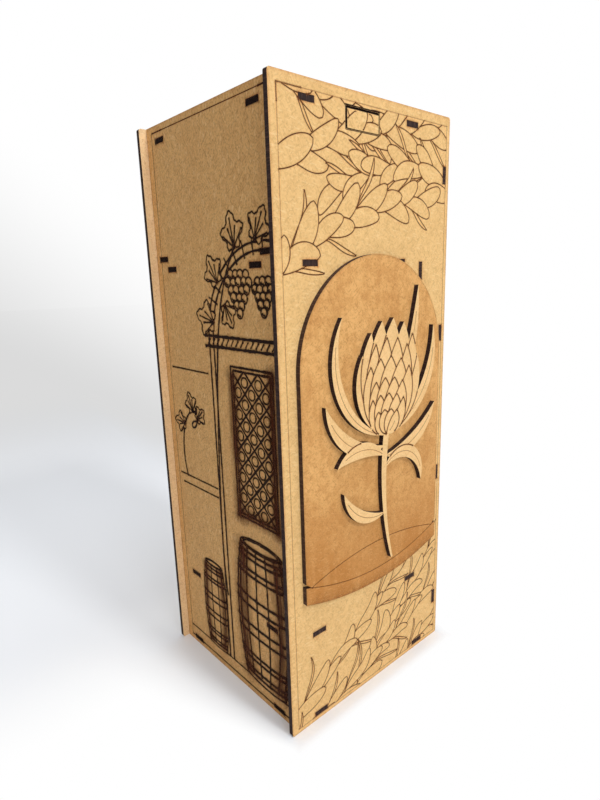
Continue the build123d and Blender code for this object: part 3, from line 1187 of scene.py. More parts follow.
@dataclass(frozen=True)
class Studio:
    """Plain studio: a pale floor, a window-like key light, an overhead light and the camera.

    Attributes:
        camera_place: where the camera stands, in metres.
        azimuth: direction it looks in, in degrees from +Y towards +X.
        elevation: how far down it looks, in degrees.
        roll: how far it is turned clockwise, in degrees.
        focal_pixels: focal length in pixels of the 600 by 800 frame.
        frame_height: height of that frame, in pixels.
        sensor: length of the camera's sensor along the frame's height, in millimetres.
        key: lamp like a window, in front.
        front: softer lamp in front.
        overhead: large lamp over the box.
        fill: strength of the grey light from all around.
        shade: colour of the painted grey shade on the backdrop low at the left.
        shade_rise: how much faster the shade ends upwards than to the right.
        shade_ends: where on that way it is whole and where it has ended.
        ahead_ends: shares of +Y in a direction between which the shade is let in.
        clearing: what lifts a direction over all of the shade.
        eye: distance and height that the floor's shade is seen from, in metres.
        box_half: half the box's width and half its depth, in metres.
        shadow_edge: where the painted white over the shadow beside the box begins, from its sides outwards,
            in metres.
        shadow_width: how far the real shadow shows beside the middle of the box, in metres.
        shadow_growth: how much further it reaches for each metre further back.
        shadow_least: how far it reaches at least, in metres.
        shadow_start: limits of y between which the painted white in front gives way to the floor's real
            shadows, in metres.
        shadow_stop: limits of x between which painted white covers them again, in metres.
        paper_ends: distances between which the floor fades into the backdrop, in metres.
    """

    camera_place: tuple[float, float, float] = (-0.2346, -0.2644, 0.2605)
    azimuth: float = 41.19
    elevation: float = 12.94
    roll: float = 1.78
    focal_pixels: float = 541.0
    frame_height: float = 800.0
    sensor: float = 36.0
    key: Lamp = Lamp("key", (0.2, -1.8, 1.65), 0.3, 14.6)
    front: Lamp = Lamp("front_fill", (-0.56, -2.0, 0.5), 0.7, 11.6)
    overhead: Lamp = Lamp("overhead", (0.1, -0.1, 1.9), 1.6, 22.5)
    fill: float = 0.27
    shade: Colour = seen(219, 219, 219)
    shade_rise: float = 1.16
    shade_ends: Pair = (-0.01, 0.55)
    ahead_ends: Pair = (0.1, 0.3)
    clearing: float = 3.0
    eye: Pair = (0.35, 0.26)
    box_half: Pair = (0.07, 0.067)
    shadow_edge: float = -0.002
    shadow_width: float = 0.036
    shadow_growth: float = 0.45
    shadow_least: float = 0.006
    shadow_start: Pair = (0.03, 0.14)
    shadow_stop: Pair = (0.08, 0.2)
    paper_ends: Pair = (0.35, 1.1)

    def camera(self) -> None:
        """Sets the camera at the photograph's viewpoint."""
        turn, dip, tilt = (math.radians(a) for a in (self.azimuth, self.elevation, self.roll))
        ahead = Vector((math.sin(turn) * math.cos(dip), math.cos(turn) * math.cos(dip), -math.sin(dip)))
        level = ahead.cross(Vector((0, 0, 1))).normalized()
        up = level.cross(ahead)
        right = level * math.cos(tilt) - up * math.sin(tilt)
        top = level * math.sin(tilt) + up * math.cos(tilt)
        data = bpy.data.cameras.new("camera")
        data.sensor_width = self.sensor
        data.lens = self.focal_pixels / self.frame_height * self.sensor
        data.clip_start = 0.01
        camera = add_object("camera", data)
        turned = Matrix((right, top, -ahead)).transposed()
        camera.matrix_world = Matrix.Translation(self.camera_place) @ turned.to_4x4()
        bpy.context.scene.camera = camera

    def world(self) -> None:
        """White behind the box with a painted grey shade low at the left, and a soft grey fill that lights
        it.

        The shade fades out as (rise * z + x) / sqrt(x * x + y * y) grows, for a view in the direction
        (x, y, z): upwards and to the right. Seen from behind, all of it is white.
        """
        made = bpy.data.worlds.new("studio")
        made.use_nodes = True
        bpy.context.scene.world = made
        graph = Graph(made.node_tree)
        way = graph.node("ShaderNodeTexCoord", {}, {}, "Generated")
        level = (way.part(0) ** 2 + way.part(1) ** 2) ** 0.5
        slant = (way.part(2) * self.shade_rise + way.part(0)) / level + self.white(way.part(1) / level)
        tone = self.tone(graph, slant)
        backdrop = graph.node("ShaderNodeBackground", {}, {"Color": tone, "Strength": 1.0})
        fill = graph.node("ShaderNodeBackground", {}, {"Color": WHITE, "Strength": self.fill})
        mixed = graph.node("ShaderNodeMixShader", {}, {0: self.shows(graph), 1: fill, 2: backdrop})
        graph.close(mixed, "ShaderNodeOutputWorld")

    def tone(self, graph: Graph, slant: Signal) -> Signal:
        """Colour of the backdrop: the painted shade where slant is low, and white where it is high."""
        return graph.mixed(slant.rises(*self.shade_ends), self.shade, WHITE)

    def white(self, ahead: Signal) -> Signal:
        """What clears the shade in directions that lie little towards +Y, where ahead is low."""
        return (1 - ahead.rises(*self.ahead_ends)) * self.clearing

    def shows(self, graph: Graph) -> Signal:
        """Says which rays see the studio as it looks: the camera's, reflected and refracted ones.

        Args:
            graph: the graph of the material or the world.

        Returns:
            1 for these rays and 0 for others.
        """
        kinds = ("Is Camera Ray", "Is Glossy Ray", "Is Transmission Ray")
        direct, glossy, refracted = (graph.node("ShaderNodeLightPath", {}, {}, kind) for kind in kinds)
        return direct.larger(glossy).larger(refracted)

    def floor(self) -> None:
        """A pale floor that fades into the white backdrop away from the box.

        It is a grid of rings and spokes: each point lies at radius r and angle a, with r growing
        as the square of its step so that the rings are closer near the box.
        """
        rings, spokes, reach = 24, 48, 6.0
        r = reach * (np.arange(1, rings + 1) / rings) ** 2
        a = np.arange(spokes) * (2 * math.pi / spokes)
        circle = np.stack([np.cos(a), np.sin(a), np.zeros(spokes)], axis=1)
        places = np.concatenate([[[0.0, 0.0, 0.0]], (r[:, None, None] * circle).reshape(-1, 3)])
        step = np.arange(spokes)
        after = (step + 1) % spokes
        inner = 1 + np.arange(rings - 1)[:, None] * spokes
        quads = np.stack([inner + step, inner + spokes + step, inner + spokes + after, inner + after], axis=2)
        fan = np.stack([np.zeros(spokes, int), 1 + step, 1 + after], axis=1)
        mesh = bpy.data.meshes.new("floor")
        mesh.from_pydata(places, [], fan.tolist() + quads.reshape(-1, 4).tolist())
        mesh.materials.append(self.floor_finish())
        floor = add_object("floor", mesh)

    def floor_finish(self) -> bpy.types.Material:
        """White paper for the camera, greyer for bounced light, that fades into the backdrop far away.

        In front of the box and to its right the camera sees the backdrop's white instead of the paper, which
        paints out the box's real shadow there. At its left the real shadow shows, the further out the further
        back it lies. Far away the floor fades into the backdrop's tone, with its painted grey shade at the
        left.

        Returns:
            The material.
        """
        made, graph = new_material("floor_paper")
        place = graph.place()
        shows = self.shows(graph)
        paper = graph.principled(
            {
                "Base Color": graph.mixed(shows, seen(205, 205, 205), seen(247, 250, 255)),
                "Roughness": 0.9 + graph.noise(place, 2.0, 1) * 0.1,
                "Specular IOR Level": 0.0,
            }
        )
        x, y = place.part(0), place.part(1)
        away = (x**2 + y**2) ** 0.5
        beside = (abs(x) - self.box_half[0]).larger(abs(y) - self.box_half[1])
        reach = (y * self.shadow_growth + self.shadow_width).larger(self.shadow_least)
        clear = (1 - y.rises(*self.shadow_start)).larger(x.rises(*self.shadow_stop))
        # Painted light: where this share is whole the camera sees white over the box's real shadow.
        shadow_painted_white = clear * beside.rises(self.shadow_edge, reach)
        lift = self.shade_rise * self.eye[1] / (away + self.eye[0])
        slant = x / away - lift + self.white(y).larger(self.white(y / away))
        tone = self.tone(graph, slant)
        glow = graph.node("ShaderNodeEmission", {}, {"Color": tone, "Strength": 1.0})
        share = away.rises(*self.paper_ends).larger(shadow_painted_white) * shows
        graph.close(graph.node("ShaderNodeMixShader", {}, {0: share, 1: paper, 2: glow}))
        return made

    def build(self) -> None:
        """Makes the whole studio."""
        scene = bpy.context.scene
        scene.view_settings.view_transform = "Standard"
        self.world()
        self.floor()
        for lamp in (self.key, self.front, self.overhead):
            lamp.hang()
        self.camera()
        log.info("studio: camera at %s", self.camera_place)


def dress(finish: bpy.types.Material, *nodes: str) -> None:
    """Gives CAD nodes their material.

    Args:
        finish: the material.
        *nodes: the nodes.
    """
    for node in nodes:
        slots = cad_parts[node].data.materials
        slots.clear()
        slots.append(finish)


def scorch_edges(
    name: str, node: str, face: Face, slots: Sequence[Rect], body: str, spread: float = 1.8
) -> None:
    """Burns the brown glow beside a board's outer edges and round the slots in it.

    Args:
        name: name of the piece.
        node: the board, which is a rectangle.
        face: its face.
        slots: the slots in that face.
        body: the body that it moves with.
        spread: width of the glow along the edges, in millimetres.
    """
    rims = [halo(rect, spread=1.3, tone=0.75) for rect in slots]
    for side in face.rect(node).border():
        rims.append(Stroke(dense(side, pitch=spread)[1:-1], spread, tone=0.65, sides=LEFT_ONLY))
    burn_in(name, face, rims, EDGE_GLOW, body, lift=0.015)


@dataclass
class Case:
    """Glued case: its panels, its inner boards and the strips that the moving parts run in.

    Attributes:
        wide: boards that face the front.
        deep: boards that face a side, without the left panel.
        level: level boards, whose tabs show in the panels.
        upright_strips: strips that face the front.
        level_strips: strips that lie flat.
    """

    wide: Sequence[str] = ("front_panel",)
    deep: Sequence[str] = ("right_panel", "inner_wall")
    level: Sequence[str] = ("bottom_board", "bottle_ring_board", "neck_board", "keeper_board", "top_board")
    upright_strips: Sequence[str] = ("rear_stile_left", "rear_stile_right")
    level_strips: Sequence[str] = (
        "latch_rail_left",
        "latch_rail_right",
        "latch_strap_front",
        "latch_strap_rear",
        "gate_guide_front_left",
        "gate_guide_front_right",
        "gate_guide_rear_left",
        "gate_guide_rear_right",
    )

    def dress(self) -> None:
        """Gives every board of the case its finish."""
        for nodes, finish, axis in (
            (self.wide, LIGHT_BOARD, Axis.Y),
            (self.deep, LIGHT_BOARD, Axis.X),
            (self.level, LIGHT_BOARD, Axis.Z),
            (("left_panel",), SHADED_LEFT_BOARD, Axis.X),
            (("bell_plate",), DARK_BOARD, Axis.Y),
            (("flower_relief",), FLOWER_BOARD, Axis.Y),
            (self.upright_strips, INNER_STRIP, Axis.Y),
            (self.level_strips, INNER_STRIP, Axis.Z),
        ):
            dress(finish.ready(axis), *nodes)

    def slots(self, face: Face, more: Sequence[str] = ()) -> list[Rect]:
        """Ends of the level boards' tabs in a face, with those of more boards."""
        return [rect for node in (*self.level, *more) for rect in tab_ends(node, face)]

    def front_slots(self, face: Face) -> list[Rect]:
        """Ends of all the tabs in the front panel's face."""
        return self.slots(face, self.deep)

    def shaded_slot_fill(self, slot: Rect) -> Stroke:
        """Dark fill over a level slot that runs a little past its long sides: painted shade of a slot on the
        side away from the key, laid over the tab end's own char and the dark gap round its tab.

        Args:
            slot: the slot.

        Returns:
            The stroke.
        """
        inset = 1.2
        middle = sum(slot.v) / 2
        ends = np.array([(slot.u[0] + inset, middle), (slot.u[1] - inset, middle)])
        return Stroke(dense(ends, pitch=1.0), spread=2.2, tone=0.75)

    def build(self) -> None:
        """Dresses the case, scorches the edges of its outer faces and paints shade into the left panel's
        slots.
        """
        self.dress()
        front, left = Side.FRONT.of("front_panel"), Side.LEFT.of("left_panel")
        right = Side.RIGHT.of("right_panel")
        in_front, in_left = self.front_slots(front), self.slots(left)
        scorch_edges("front_edge_scorch", "front_panel", front, in_front, "case")
        scorch_edges("left_edge_scorch", "left_panel", left, in_left, "case", spread=1.2)
        # Painted shade: the left panel's slots are filled darker than the front's, as the left side lies away
        # from the key.
        char = [self.shaded_slot_fill(slot) for slot in in_left]
        burn_in("left_slot_shade", left, char, SEAM, "case", lift=0.02)
        scorch_edges("right_edge_scorch", "right_panel", right, self.slots(right), "case")
        log.info("case: %d slots in its front", len(in_front))


@dataclass
class SlidingBack:
    """Back panel that slides up, with the runners that hold it.

    Attributes:
        runners: the strips of the runners.
        nose: the latch's nose, which stands in the back's window when it is locked.
    """

    runners: Sequence[str] = (
        "runner_spacer_left",
        "runner_spacer_right",
        "runner_strip_left",
        "runner_strip_right",
    )
    nose: str = "latch_nose"

    def build(self) -> None:
        """Dresses it and scorches its edges and the rim of the latch's window."""
        dress(LIT_BACK_BOARD.ready(Axis.Y), "back_panel")
        dress(INNER_STRIP.ready(Axis.Y), *self.runners)
        face = Side.BACK.of("back_panel")
        scorch_edges("back_edge_scorch", "back_panel", face, [face.rect(self.nose)], "sliding_back")
        log.info("sliding back: %d runners", len(self.runners))


@dataclass
class Latch:
    """Push-through latch: the tile in the front, its bar, and the nose at the back.

    Attributes:
        gap_top: gap over the tile, in millimetres.
        gap_left: gap at its left.
        gap: gap on its other sides.
        bar: the parts that move with the tile.
    """

    gap_top: float = 1.0
    gap_left: float = 0.8
    gap: float = 0.2
    bar: Sequence[str] = ("latch_bar", "latch_front_block", "latch_nose")

    def tile(self, face: Face) -> Rect:
        """The tile's rectangle on the front."""
        return face.rect("latch_tile")

    def mouth(self, face: Face) -> Rect:
        """The window in the front panel that the tile stands in.

        Args:
            face: the front panel's face.

        Returns:
            The window's rectangle.
        """
        tile = self.tile(face)
        across = (tile.u[0] - self.gap_left, tile.u[1] + self.gap)
        return Rect(across, (tile.v[0] - self.gap, tile.v[1] + self.gap_top))

    def build(self) -> None:
        """Dresses it and burns the dark seam round the tile."""
        dress(LIGHT_BOARD.ready(Axis.Y), "latch_tile")
        dress(INNER_STRIP.ready(Axis.Z), *self.bar)
        face = Side.FRONT.of("front_panel")
        tile, mouth = self.tile(face), self.mouth(face)
        top = Stroke(dense(mouth.border()[2], pitch=1.0), spread=1.0, sides=RIGHT_ONLY)
        rim = halo(mouth, spread=0.5, tone=1.0)
        burn_in("window_seam", face, [rim, top], SEAM, "case", lift=0.1)
        seam = replace(halo(tile, spread=0.5, tone=1.0), sides=LEFT_ONLY)
        burn_in("tile_seam", face, [seam], SEAM, "latch", lift=0.06)
        log.info("latch: tile at %s", tile)


@dataclass
class Gate:
    """Sliding gate behind the bottle's neck, with the dowel that it is moved by.

    Attributes:
        plate: the plate that slides.
        peg: its dowel.
    """

    plate: str = "neck_gate"
    peg: str = "gate_peg"

    def build(self) -> None:
        """Dresses it."""
        dress(INNER_STRIP.ready(Axis.Z), self.plate)
        dress(DOWEL.material(), self.peg)
        log.info("gate: %s and %s", self.plate, self.peg)


@dataclass(frozen=True)
class Blade:
    """Leaf: a bowed middle line with a width that swells and closes again.

    Half the width at a share s of the length is half_width * sin(pi * s ** belly) ** fullness, and
    the middle line moves aside by sway * length * sin(2 * pi * s), which makes it an S.

    Attributes:
        root: where it starts.
        angle: direction from root to tip, in degrees.
        length: distance from root to tip.
        half_width: the largest half width.
        bow: how far the middle line bends to its left, as a share of the length.
        belly: over 1, the widest place is nearer the tip.
        fullness: under 1, the ends are blunter.
        sway: how far the middle line sways to each side, as a share of the length.
    """

    root: Pair
    angle: float
    length: float
    half_width: float
    bow: float = 0.1
    belly: float = 1.25
    fullness: float = 0.75
    sway: float = 0.0

    def middle(self, count: int = 28) -> Points:
        """Middle line from root to tip.

        Args:
            count: points on it.

        Returns:
            Its points.
        """
        along = towards(self.angle) * self.length
        left = np.array([-along[1], along[0]])
        root = np.asarray(self.root)
        wave = np.sin(np.linspace(0, 2 * math.pi, count))[:, None] * self.sway
        return curve([root, root + along / 2 + left * self.bow * 2, root + along], count) + wave * left

    def outline(self) -> Points:
        """Closed outline: up its left side and down its right side.

        Returns:
            Its points.
        """
        middle = self.middle()
        share = np.linspace(0, 1, len(middle))
        half = self.half_width * np.sin(math.pi * share**self.belly).clip(0) ** self.fullness
        side = rotated(unit(np.gradient(middle, axis=0))) * half[:, None]
        return np.concatenate([middle + side, (middle - side)[-2:0:-1]])


@dataclass(frozen=True)
class Sprig:
    """Leafy twig whose leaves alternate along its stem and overlap towards its foot.

    Attributes:
        path: points that lead its stem from foot to tip.
        leaves: how many leaves it has.
        length: usual length of a leaf.
        half_width: usual half width of a leaf.
        splay: usual angle between leaf and stem, in degrees.
        pen: the pen it is drawn with.
        seed: picks the small differences between its leaves.
        narrow: share of leaves that are seen edge-on.
    """

    path: Sequence[Pair]
    leaves: int
    length: float
    half_width: float
    splay: float
    pen: Pen
    seed: int
    narrow: float = 0.3

    def draw(self, drawing: Drawing) -> None:
        """Draws it from its tip back to its foot, so that each leaf hides the root of the next.

        Leaves lean to the left and right of the stem in turn, and every fifth lies along it. Some
        are seen edge-on: these are thin, stand out further and bend like an S.

        Args:
            drawing: the drawing that it goes on.
        """
        rng = np.random.default_rng(self.seed)
        stem = curve(self.path, 120)
        heading = np.degrees(np.arctan2(*np.gradient(stem, axis=0).T[::-1]))
        drawing.line(self.pen, stem)
        for i in range(self.leaves):
            share = 1 - i / self.leaves
            at = int(share * (len(stem) - 3)) + 1
            side = (1, -1, 1, -1, 0)[i % 5]
            size = (0.8 + 0.25 * (1 - share)) * rng.uniform(0.9, 1.12)
            if side and rng.random() < self.narrow:
                thin = Blade(
                    root=tuple(stem[at]),
                    angle=heading[at] + side * rng.uniform(34, 46),
                    length=self.length * size * 1.05,
                    half_width=self.half_width * 0.2,
                    bow=-side * rng.uniform(0.03, 0.09),
                    belly=1.7,
                    sway=rng.uniform(0.02, 0.04),
                )
                drawing.shape(self.pen, thin.outline())
            leaf = Blade(
                root=tuple(stem[at]),
                angle=heading[at] + side * self.splay * rng.uniform(0.65, 1.25) + rng.uniform(-5, 5),
                length=self.length * size,
                half_width=self.half_width * size * rng.uniform(0.85, 1.12),
                bow=-side * rng.uniform(0.02, 0.14) + rng.uniform(-0.03, 0.03),
                belly=rng.uniform(1.1, 1.4),
                fullness=rng.uniform(0.42, 0.6),
                sway=rng.uniform(-0.03, 0.04),
            )
            drawing.shape(self.pen, leaf.outline())


@dataclass(frozen=True)
class Grapes:
    """Hanging bunch of grapes: rows of round berries that narrow downwards.

    Attributes:
        top: middle of its uppermost row.
        width: how many berries its widest row has.
        berry: radius of a berry.
        pen: the pen it is drawn with.
        seed: picks how far each berry lies off its place.
    """

    top: Pair
    width: int
    berry: float
    pen: Pen
    seed: int = 5

    def draw(self, drawing: Drawing) -> None:
        """Draws the rows from the top down, each berry over its neighbours.

        Args:
            drawing: the drawing that it goes on.
        """
        rng = np.random.default_rng(self.seed)
        rows = [self.width - 1, *range(self.width, 0, -1)]
        for i, count in enumerate(rows):
            for j in range(count):
                u = self.top[0] + (j - (count - 1) / 2) * self.berry * 1.75 + rng.uniform(-0.4, 0.4)
                v = self.top[1] - i * self.berry * 1.5 + rng.uniform(-0.3, 0.3)
                drawing.shape(self.pen, arc((u, v), self.berry, 0, 340, 16))
                drawing.line(self.pen, arc((u, v), self.berry * 0.55, 200, 290, 6))


@dataclass(frozen=True)
class VineLeaf:
    """Five-lobed leaf with five veins that fan out from its stalk.

    Its radius at an angle a from its middle lobe is
    size * (0.8 + 0.17 * cos(5 * a) + 0.04 * cos(20 * a)) * (1 - 0.4 * (1 - cos(a)) / 2), so that
    the lobes near its stalk are shorter and its rim is toothed.

    Attributes:
        stalk: where its stalk meets it.
        angle: direction of its middle lobe, in degrees.
        size: about the length of that lobe.
        pen: the pen it is drawn with.
        opening: share of half a turn, on each side of the middle lobe, that its rim covers.
        veins: numbers of the points on its rim that the veins run towards.
    """

    stalk: Pair
    angle: float
    size: float
    pen: Pen
    opening: float = 0.93
    veins: Sequence[int] = (17, 24, 30, 35, 42)

    def draw(self, drawing: Drawing) -> None:
        """Draws the outline, then the veins.

        Args:
            drawing: the drawing that it goes on.
        """
        turn = math.radians(self.angle)
        a = np.linspace(-math.pi * self.opening, math.pi * self.opening, 60)
        lobes = 0.8 + 0.17 * np.cos(5 * a) + 0.04 * np.cos(20 * a)
        radius = self.size * lobes * (1 - 0.4 * (1 - np.cos(a)) / 2)
        middle = np.asarray(self.stalk) + 0.45 * self.size * towards(self.angle)
        rim = middle + np.stack([radius * np.cos(a + turn), radius * np.sin(a + turn)], axis=1)
        drawing.shape(self.pen, rim)
        for point in self.veins:
            drawing.line(self.pen, [self.stalk, 0.2 * np.asarray(self.stalk) + 0.8 * rim[point]])


@dataclass(frozen=True)
class Barrel:
    """Standing barrel with staves and hoops.

    Its sides bulge: half its width at a share s of its height is
    end + (belly - end) * (1 - (2 * s - 1) ** 2).

    Attributes:
        foot: middle of its foot.
        height: its height.
        end: half its width at its ends.
        belly: half its width in the middle.
        pen: pen of its outline and staves.
        hoop_pen: pen of its hoops.
        staves: how many staves are seen.
        hoops: shares of its height where each hoop begins and ends.
    """

    foot: Pair
    height: float
    end: float
    belly: float
    pen: Pen
    hoop_pen: Pen
    staves: int = 7
    hoops: Sequence[float] = (0.04, 0.2, 0.36, 0.64, 0.8, 0.96)

    def half(self, s: Points | float) -> Points | float:
        """Half its width at a share of its height."""
        return self.end + (self.belly - self.end) * (1 - (2 * s - 1) ** 2)

    def side(self, share: float, low: float = 0.0, high: float = 1.0) -> Points:
        """Line up the barrel at a share of its half width, -1 to 1."""
        s = np.linspace(low, high, 40)
        return np.stack([self.foot[0] + self.half(s) * share, self.foot[1] + s * self.height], axis=1)

    def ring(self, s: float) -> Points:
        """Front half of a hoop's line, which hangs a little in the middle."""
        half = self.half(s)
        return arc((self.foot[0], self.foot[1] + s * self.height), (half, half * 0.16), 180, 360)

    def draw(self, drawing: Drawing) -> None:
        """Draws the outline, the head, the staves and the hoops.

        Args:
            drawing: the drawing that it goes on.
        """
        outline = np.concatenate([self.ring(0.0), self.side(1.0)[1:], self.side(-1.0)[::-1]])
        drawing.shape(self.pen, outline)
        head = (self.foot[0], self.foot[1] + self.height)
        drawing.shape(self.pen, arc(head, (self.end, self.end * 0.2), 0, 355))
        drawing.line(self.pen, arc(head, (self.end * 0.86, self.end * 0.14), 0, 360))
        for i in range(1, self.staves):
            drawing.line(self.pen, self.side(-math.cos(math.pi * i / self.staves))[1:-1])
        for low, high in zip(self.hoops[::2], self.hoops[1::2]):
            band = np.linspace(low, high, 5)
            for s in band[[0, 1, 3, 4]]:
                drawing.line(self.hoop_pen, self.ring(s))


@dataclass(frozen=True)
class Lattice:
    """Framed lattice of slanted bars that cross.

    Attributes:
        outer: outer rectangle of its frame.
        cell: distance between two bars, measured along the frame.
        pen: the pen it is drawn with.
        inset: width of the frame.
    """

    outer: Rect
    cell: float
    pen: Pen
    inset: float = 2.2

    def reach(self) -> float:
        """How far along the foot's line the bars start, so that they cross the whole of it."""
        (left, right), (foot, top) = self.outer.u, self.outer.v
        return (right - left) + (top - foot)

    def starts(self, shift: float) -> Points:
        """Where its bars start, from a lower corner, moved on by a share of a cell."""
        count = math.ceil(self.reach() / self.cell)
        return (np.arange(-count, count) + shift) * self.cell

    def cells(self) -> Points:
        """Middles of its cells, halfway between its bars both ways.

        Returns:
            The middles.
        """
        (left, right), foot = self.outer.u, self.outer.v[0]
        steps = self.starts(0.5)
        falling, rising = np.meshgrid(steps + left - foot, steps + right + foot)
        middles = np.stack([(rising + falling) / 2, (rising - falling) / 2], axis=-1).reshape(-1, 2)
        return middles[self.outer.inside(middles, 2 * self.inset)]

    def draw(self, drawing: Drawing) -> None:
        """Draws the frame as two rectangles and the bars between its inner sides.

        Args:
            drawing: the drawing that it goes on.
        """
        inner = self.outer.shrunk(self.inset)
        for rect in (self.outer, inner):
            drawing.shape(self.pen, rect.corners())
        cutter = Drawing(inner, layer=drawing.layer)
        (left, right), foot, reach = self.outer.u, self.outer.v[0], self.reach()
        for start in self.starts(0.0):
            rising = [(left + start, foot), (left + start + reach, foot + reach)]
            falling = [(right - start, foot), (right - start - reach, foot + reach)]
            for bar in (rising, falling):
                drawing.marks += cutter.cut(self.pen, bar)


@dataclass
class FrontDrawing:
    """Leaf sprigs and border on the front panel and on the tile in its window.

    Attributes:
        border: rectangle of the border line.
        thin: pen of the lower sprigs.
        firm: pen of the upper sprigs.
        edge: pen of the border.
        dwell: pen of the border's upper left corner, where the beam starts.
    """

    border: Rect = Rect((-65.2, 66.8), (2.7, 344.7))
    thin: Pen = Pen(Ink.FINE, 0.95, 0.95)
    firm: Pen = Pen(Ink.FINE, 1.0)
    edge: Pen = Pen(Ink.FAINT, 1.0, 0.6)
    dwell: Pen = Pen(Ink.FINE, 1.2, 0.85)

    def sprigs(self) -> list[Sprig]:
        """The twigs, from back to front.

        Returns:
            The twigs.
        """
        return [
            Sprig([(-80, 352), (-48, 346), (-20, 344), (8, 332)], 10, 27, 4.7, 22, self.firm, 3, 0.6),
            Sprig([(-86, 302), (-30, 336), (16, 334), (80, 344)], 15, 31, 5.0, 21, self.firm, 14, 0.5),
            Sprig([(88, 300), (50, 324), (14, 322), (-22, 304)], 11, 29, 5.0, 22, self.firm, 23, 0.6),
            Sprig([(-92, 246), (-46, 280), (-14, 300), (38, 300)], 13, 34, 5.8, 20, self.firm, 8, 0.5),
            Sprig([(-84, -2), (-40, 26), (-8, 44), (18, 66)], 12, 31, 4.1, 17, self.thin, 31, 0.6),
            Sprig([(-30, -14), (4, 22), (34, 48), (76, 84)], 14, 30, 4.2, 17, self.thin, 47, 0.6),
            Sprig([(-84, -20), (-34, 8), (20, 16), (74, 50)], 16, 29, 4.0, 18, self.thin, 59, 0.6),
            Sprig([(4, -22), (30, 0), (52, 8), (78, 24)], 9, 26, 3.8, 18, self.thin, 71, 0.5),
        ]

    def draw(self, drawing: Drawing) -> None:
        """Draws the sprigs and the border, which cuts them off.

        Args:
            drawing: the drawing that it goes on.
        """
        for sprig in self.sprigs():
            sprig.draw(drawing)
        for side in self.border.border():
            drawing.line(self.edge, side)
        left, top = self.border.u[0], self.border.v[1]
        for u, v in ((left + 15, top), (left, top - 8)):
            drawing.line(self.dwell, [(left, top), (u, v)])

    def build(self) -> None:
        """Burns the drawing into the front panel, and its part on the tile into the tile."""
        face = Side.FRONT.of("front_panel")
        tile, mouth = Latch().tile(face), Latch().mouth(face)
        holes = [slot.corners() for slot in Case().front_slots(face)] + [Bell().outline()]
        drawing = Drawing(self.border, holes)
        self.draw(drawing)
        drawing.burn("front_burn", face, "case", lambda points: ~mouth.inside(points, margin=-0.5))
        drawing.burn("tile_burn", face, "latch", lambda points: tile.inside(points, margin=0.1), tile)


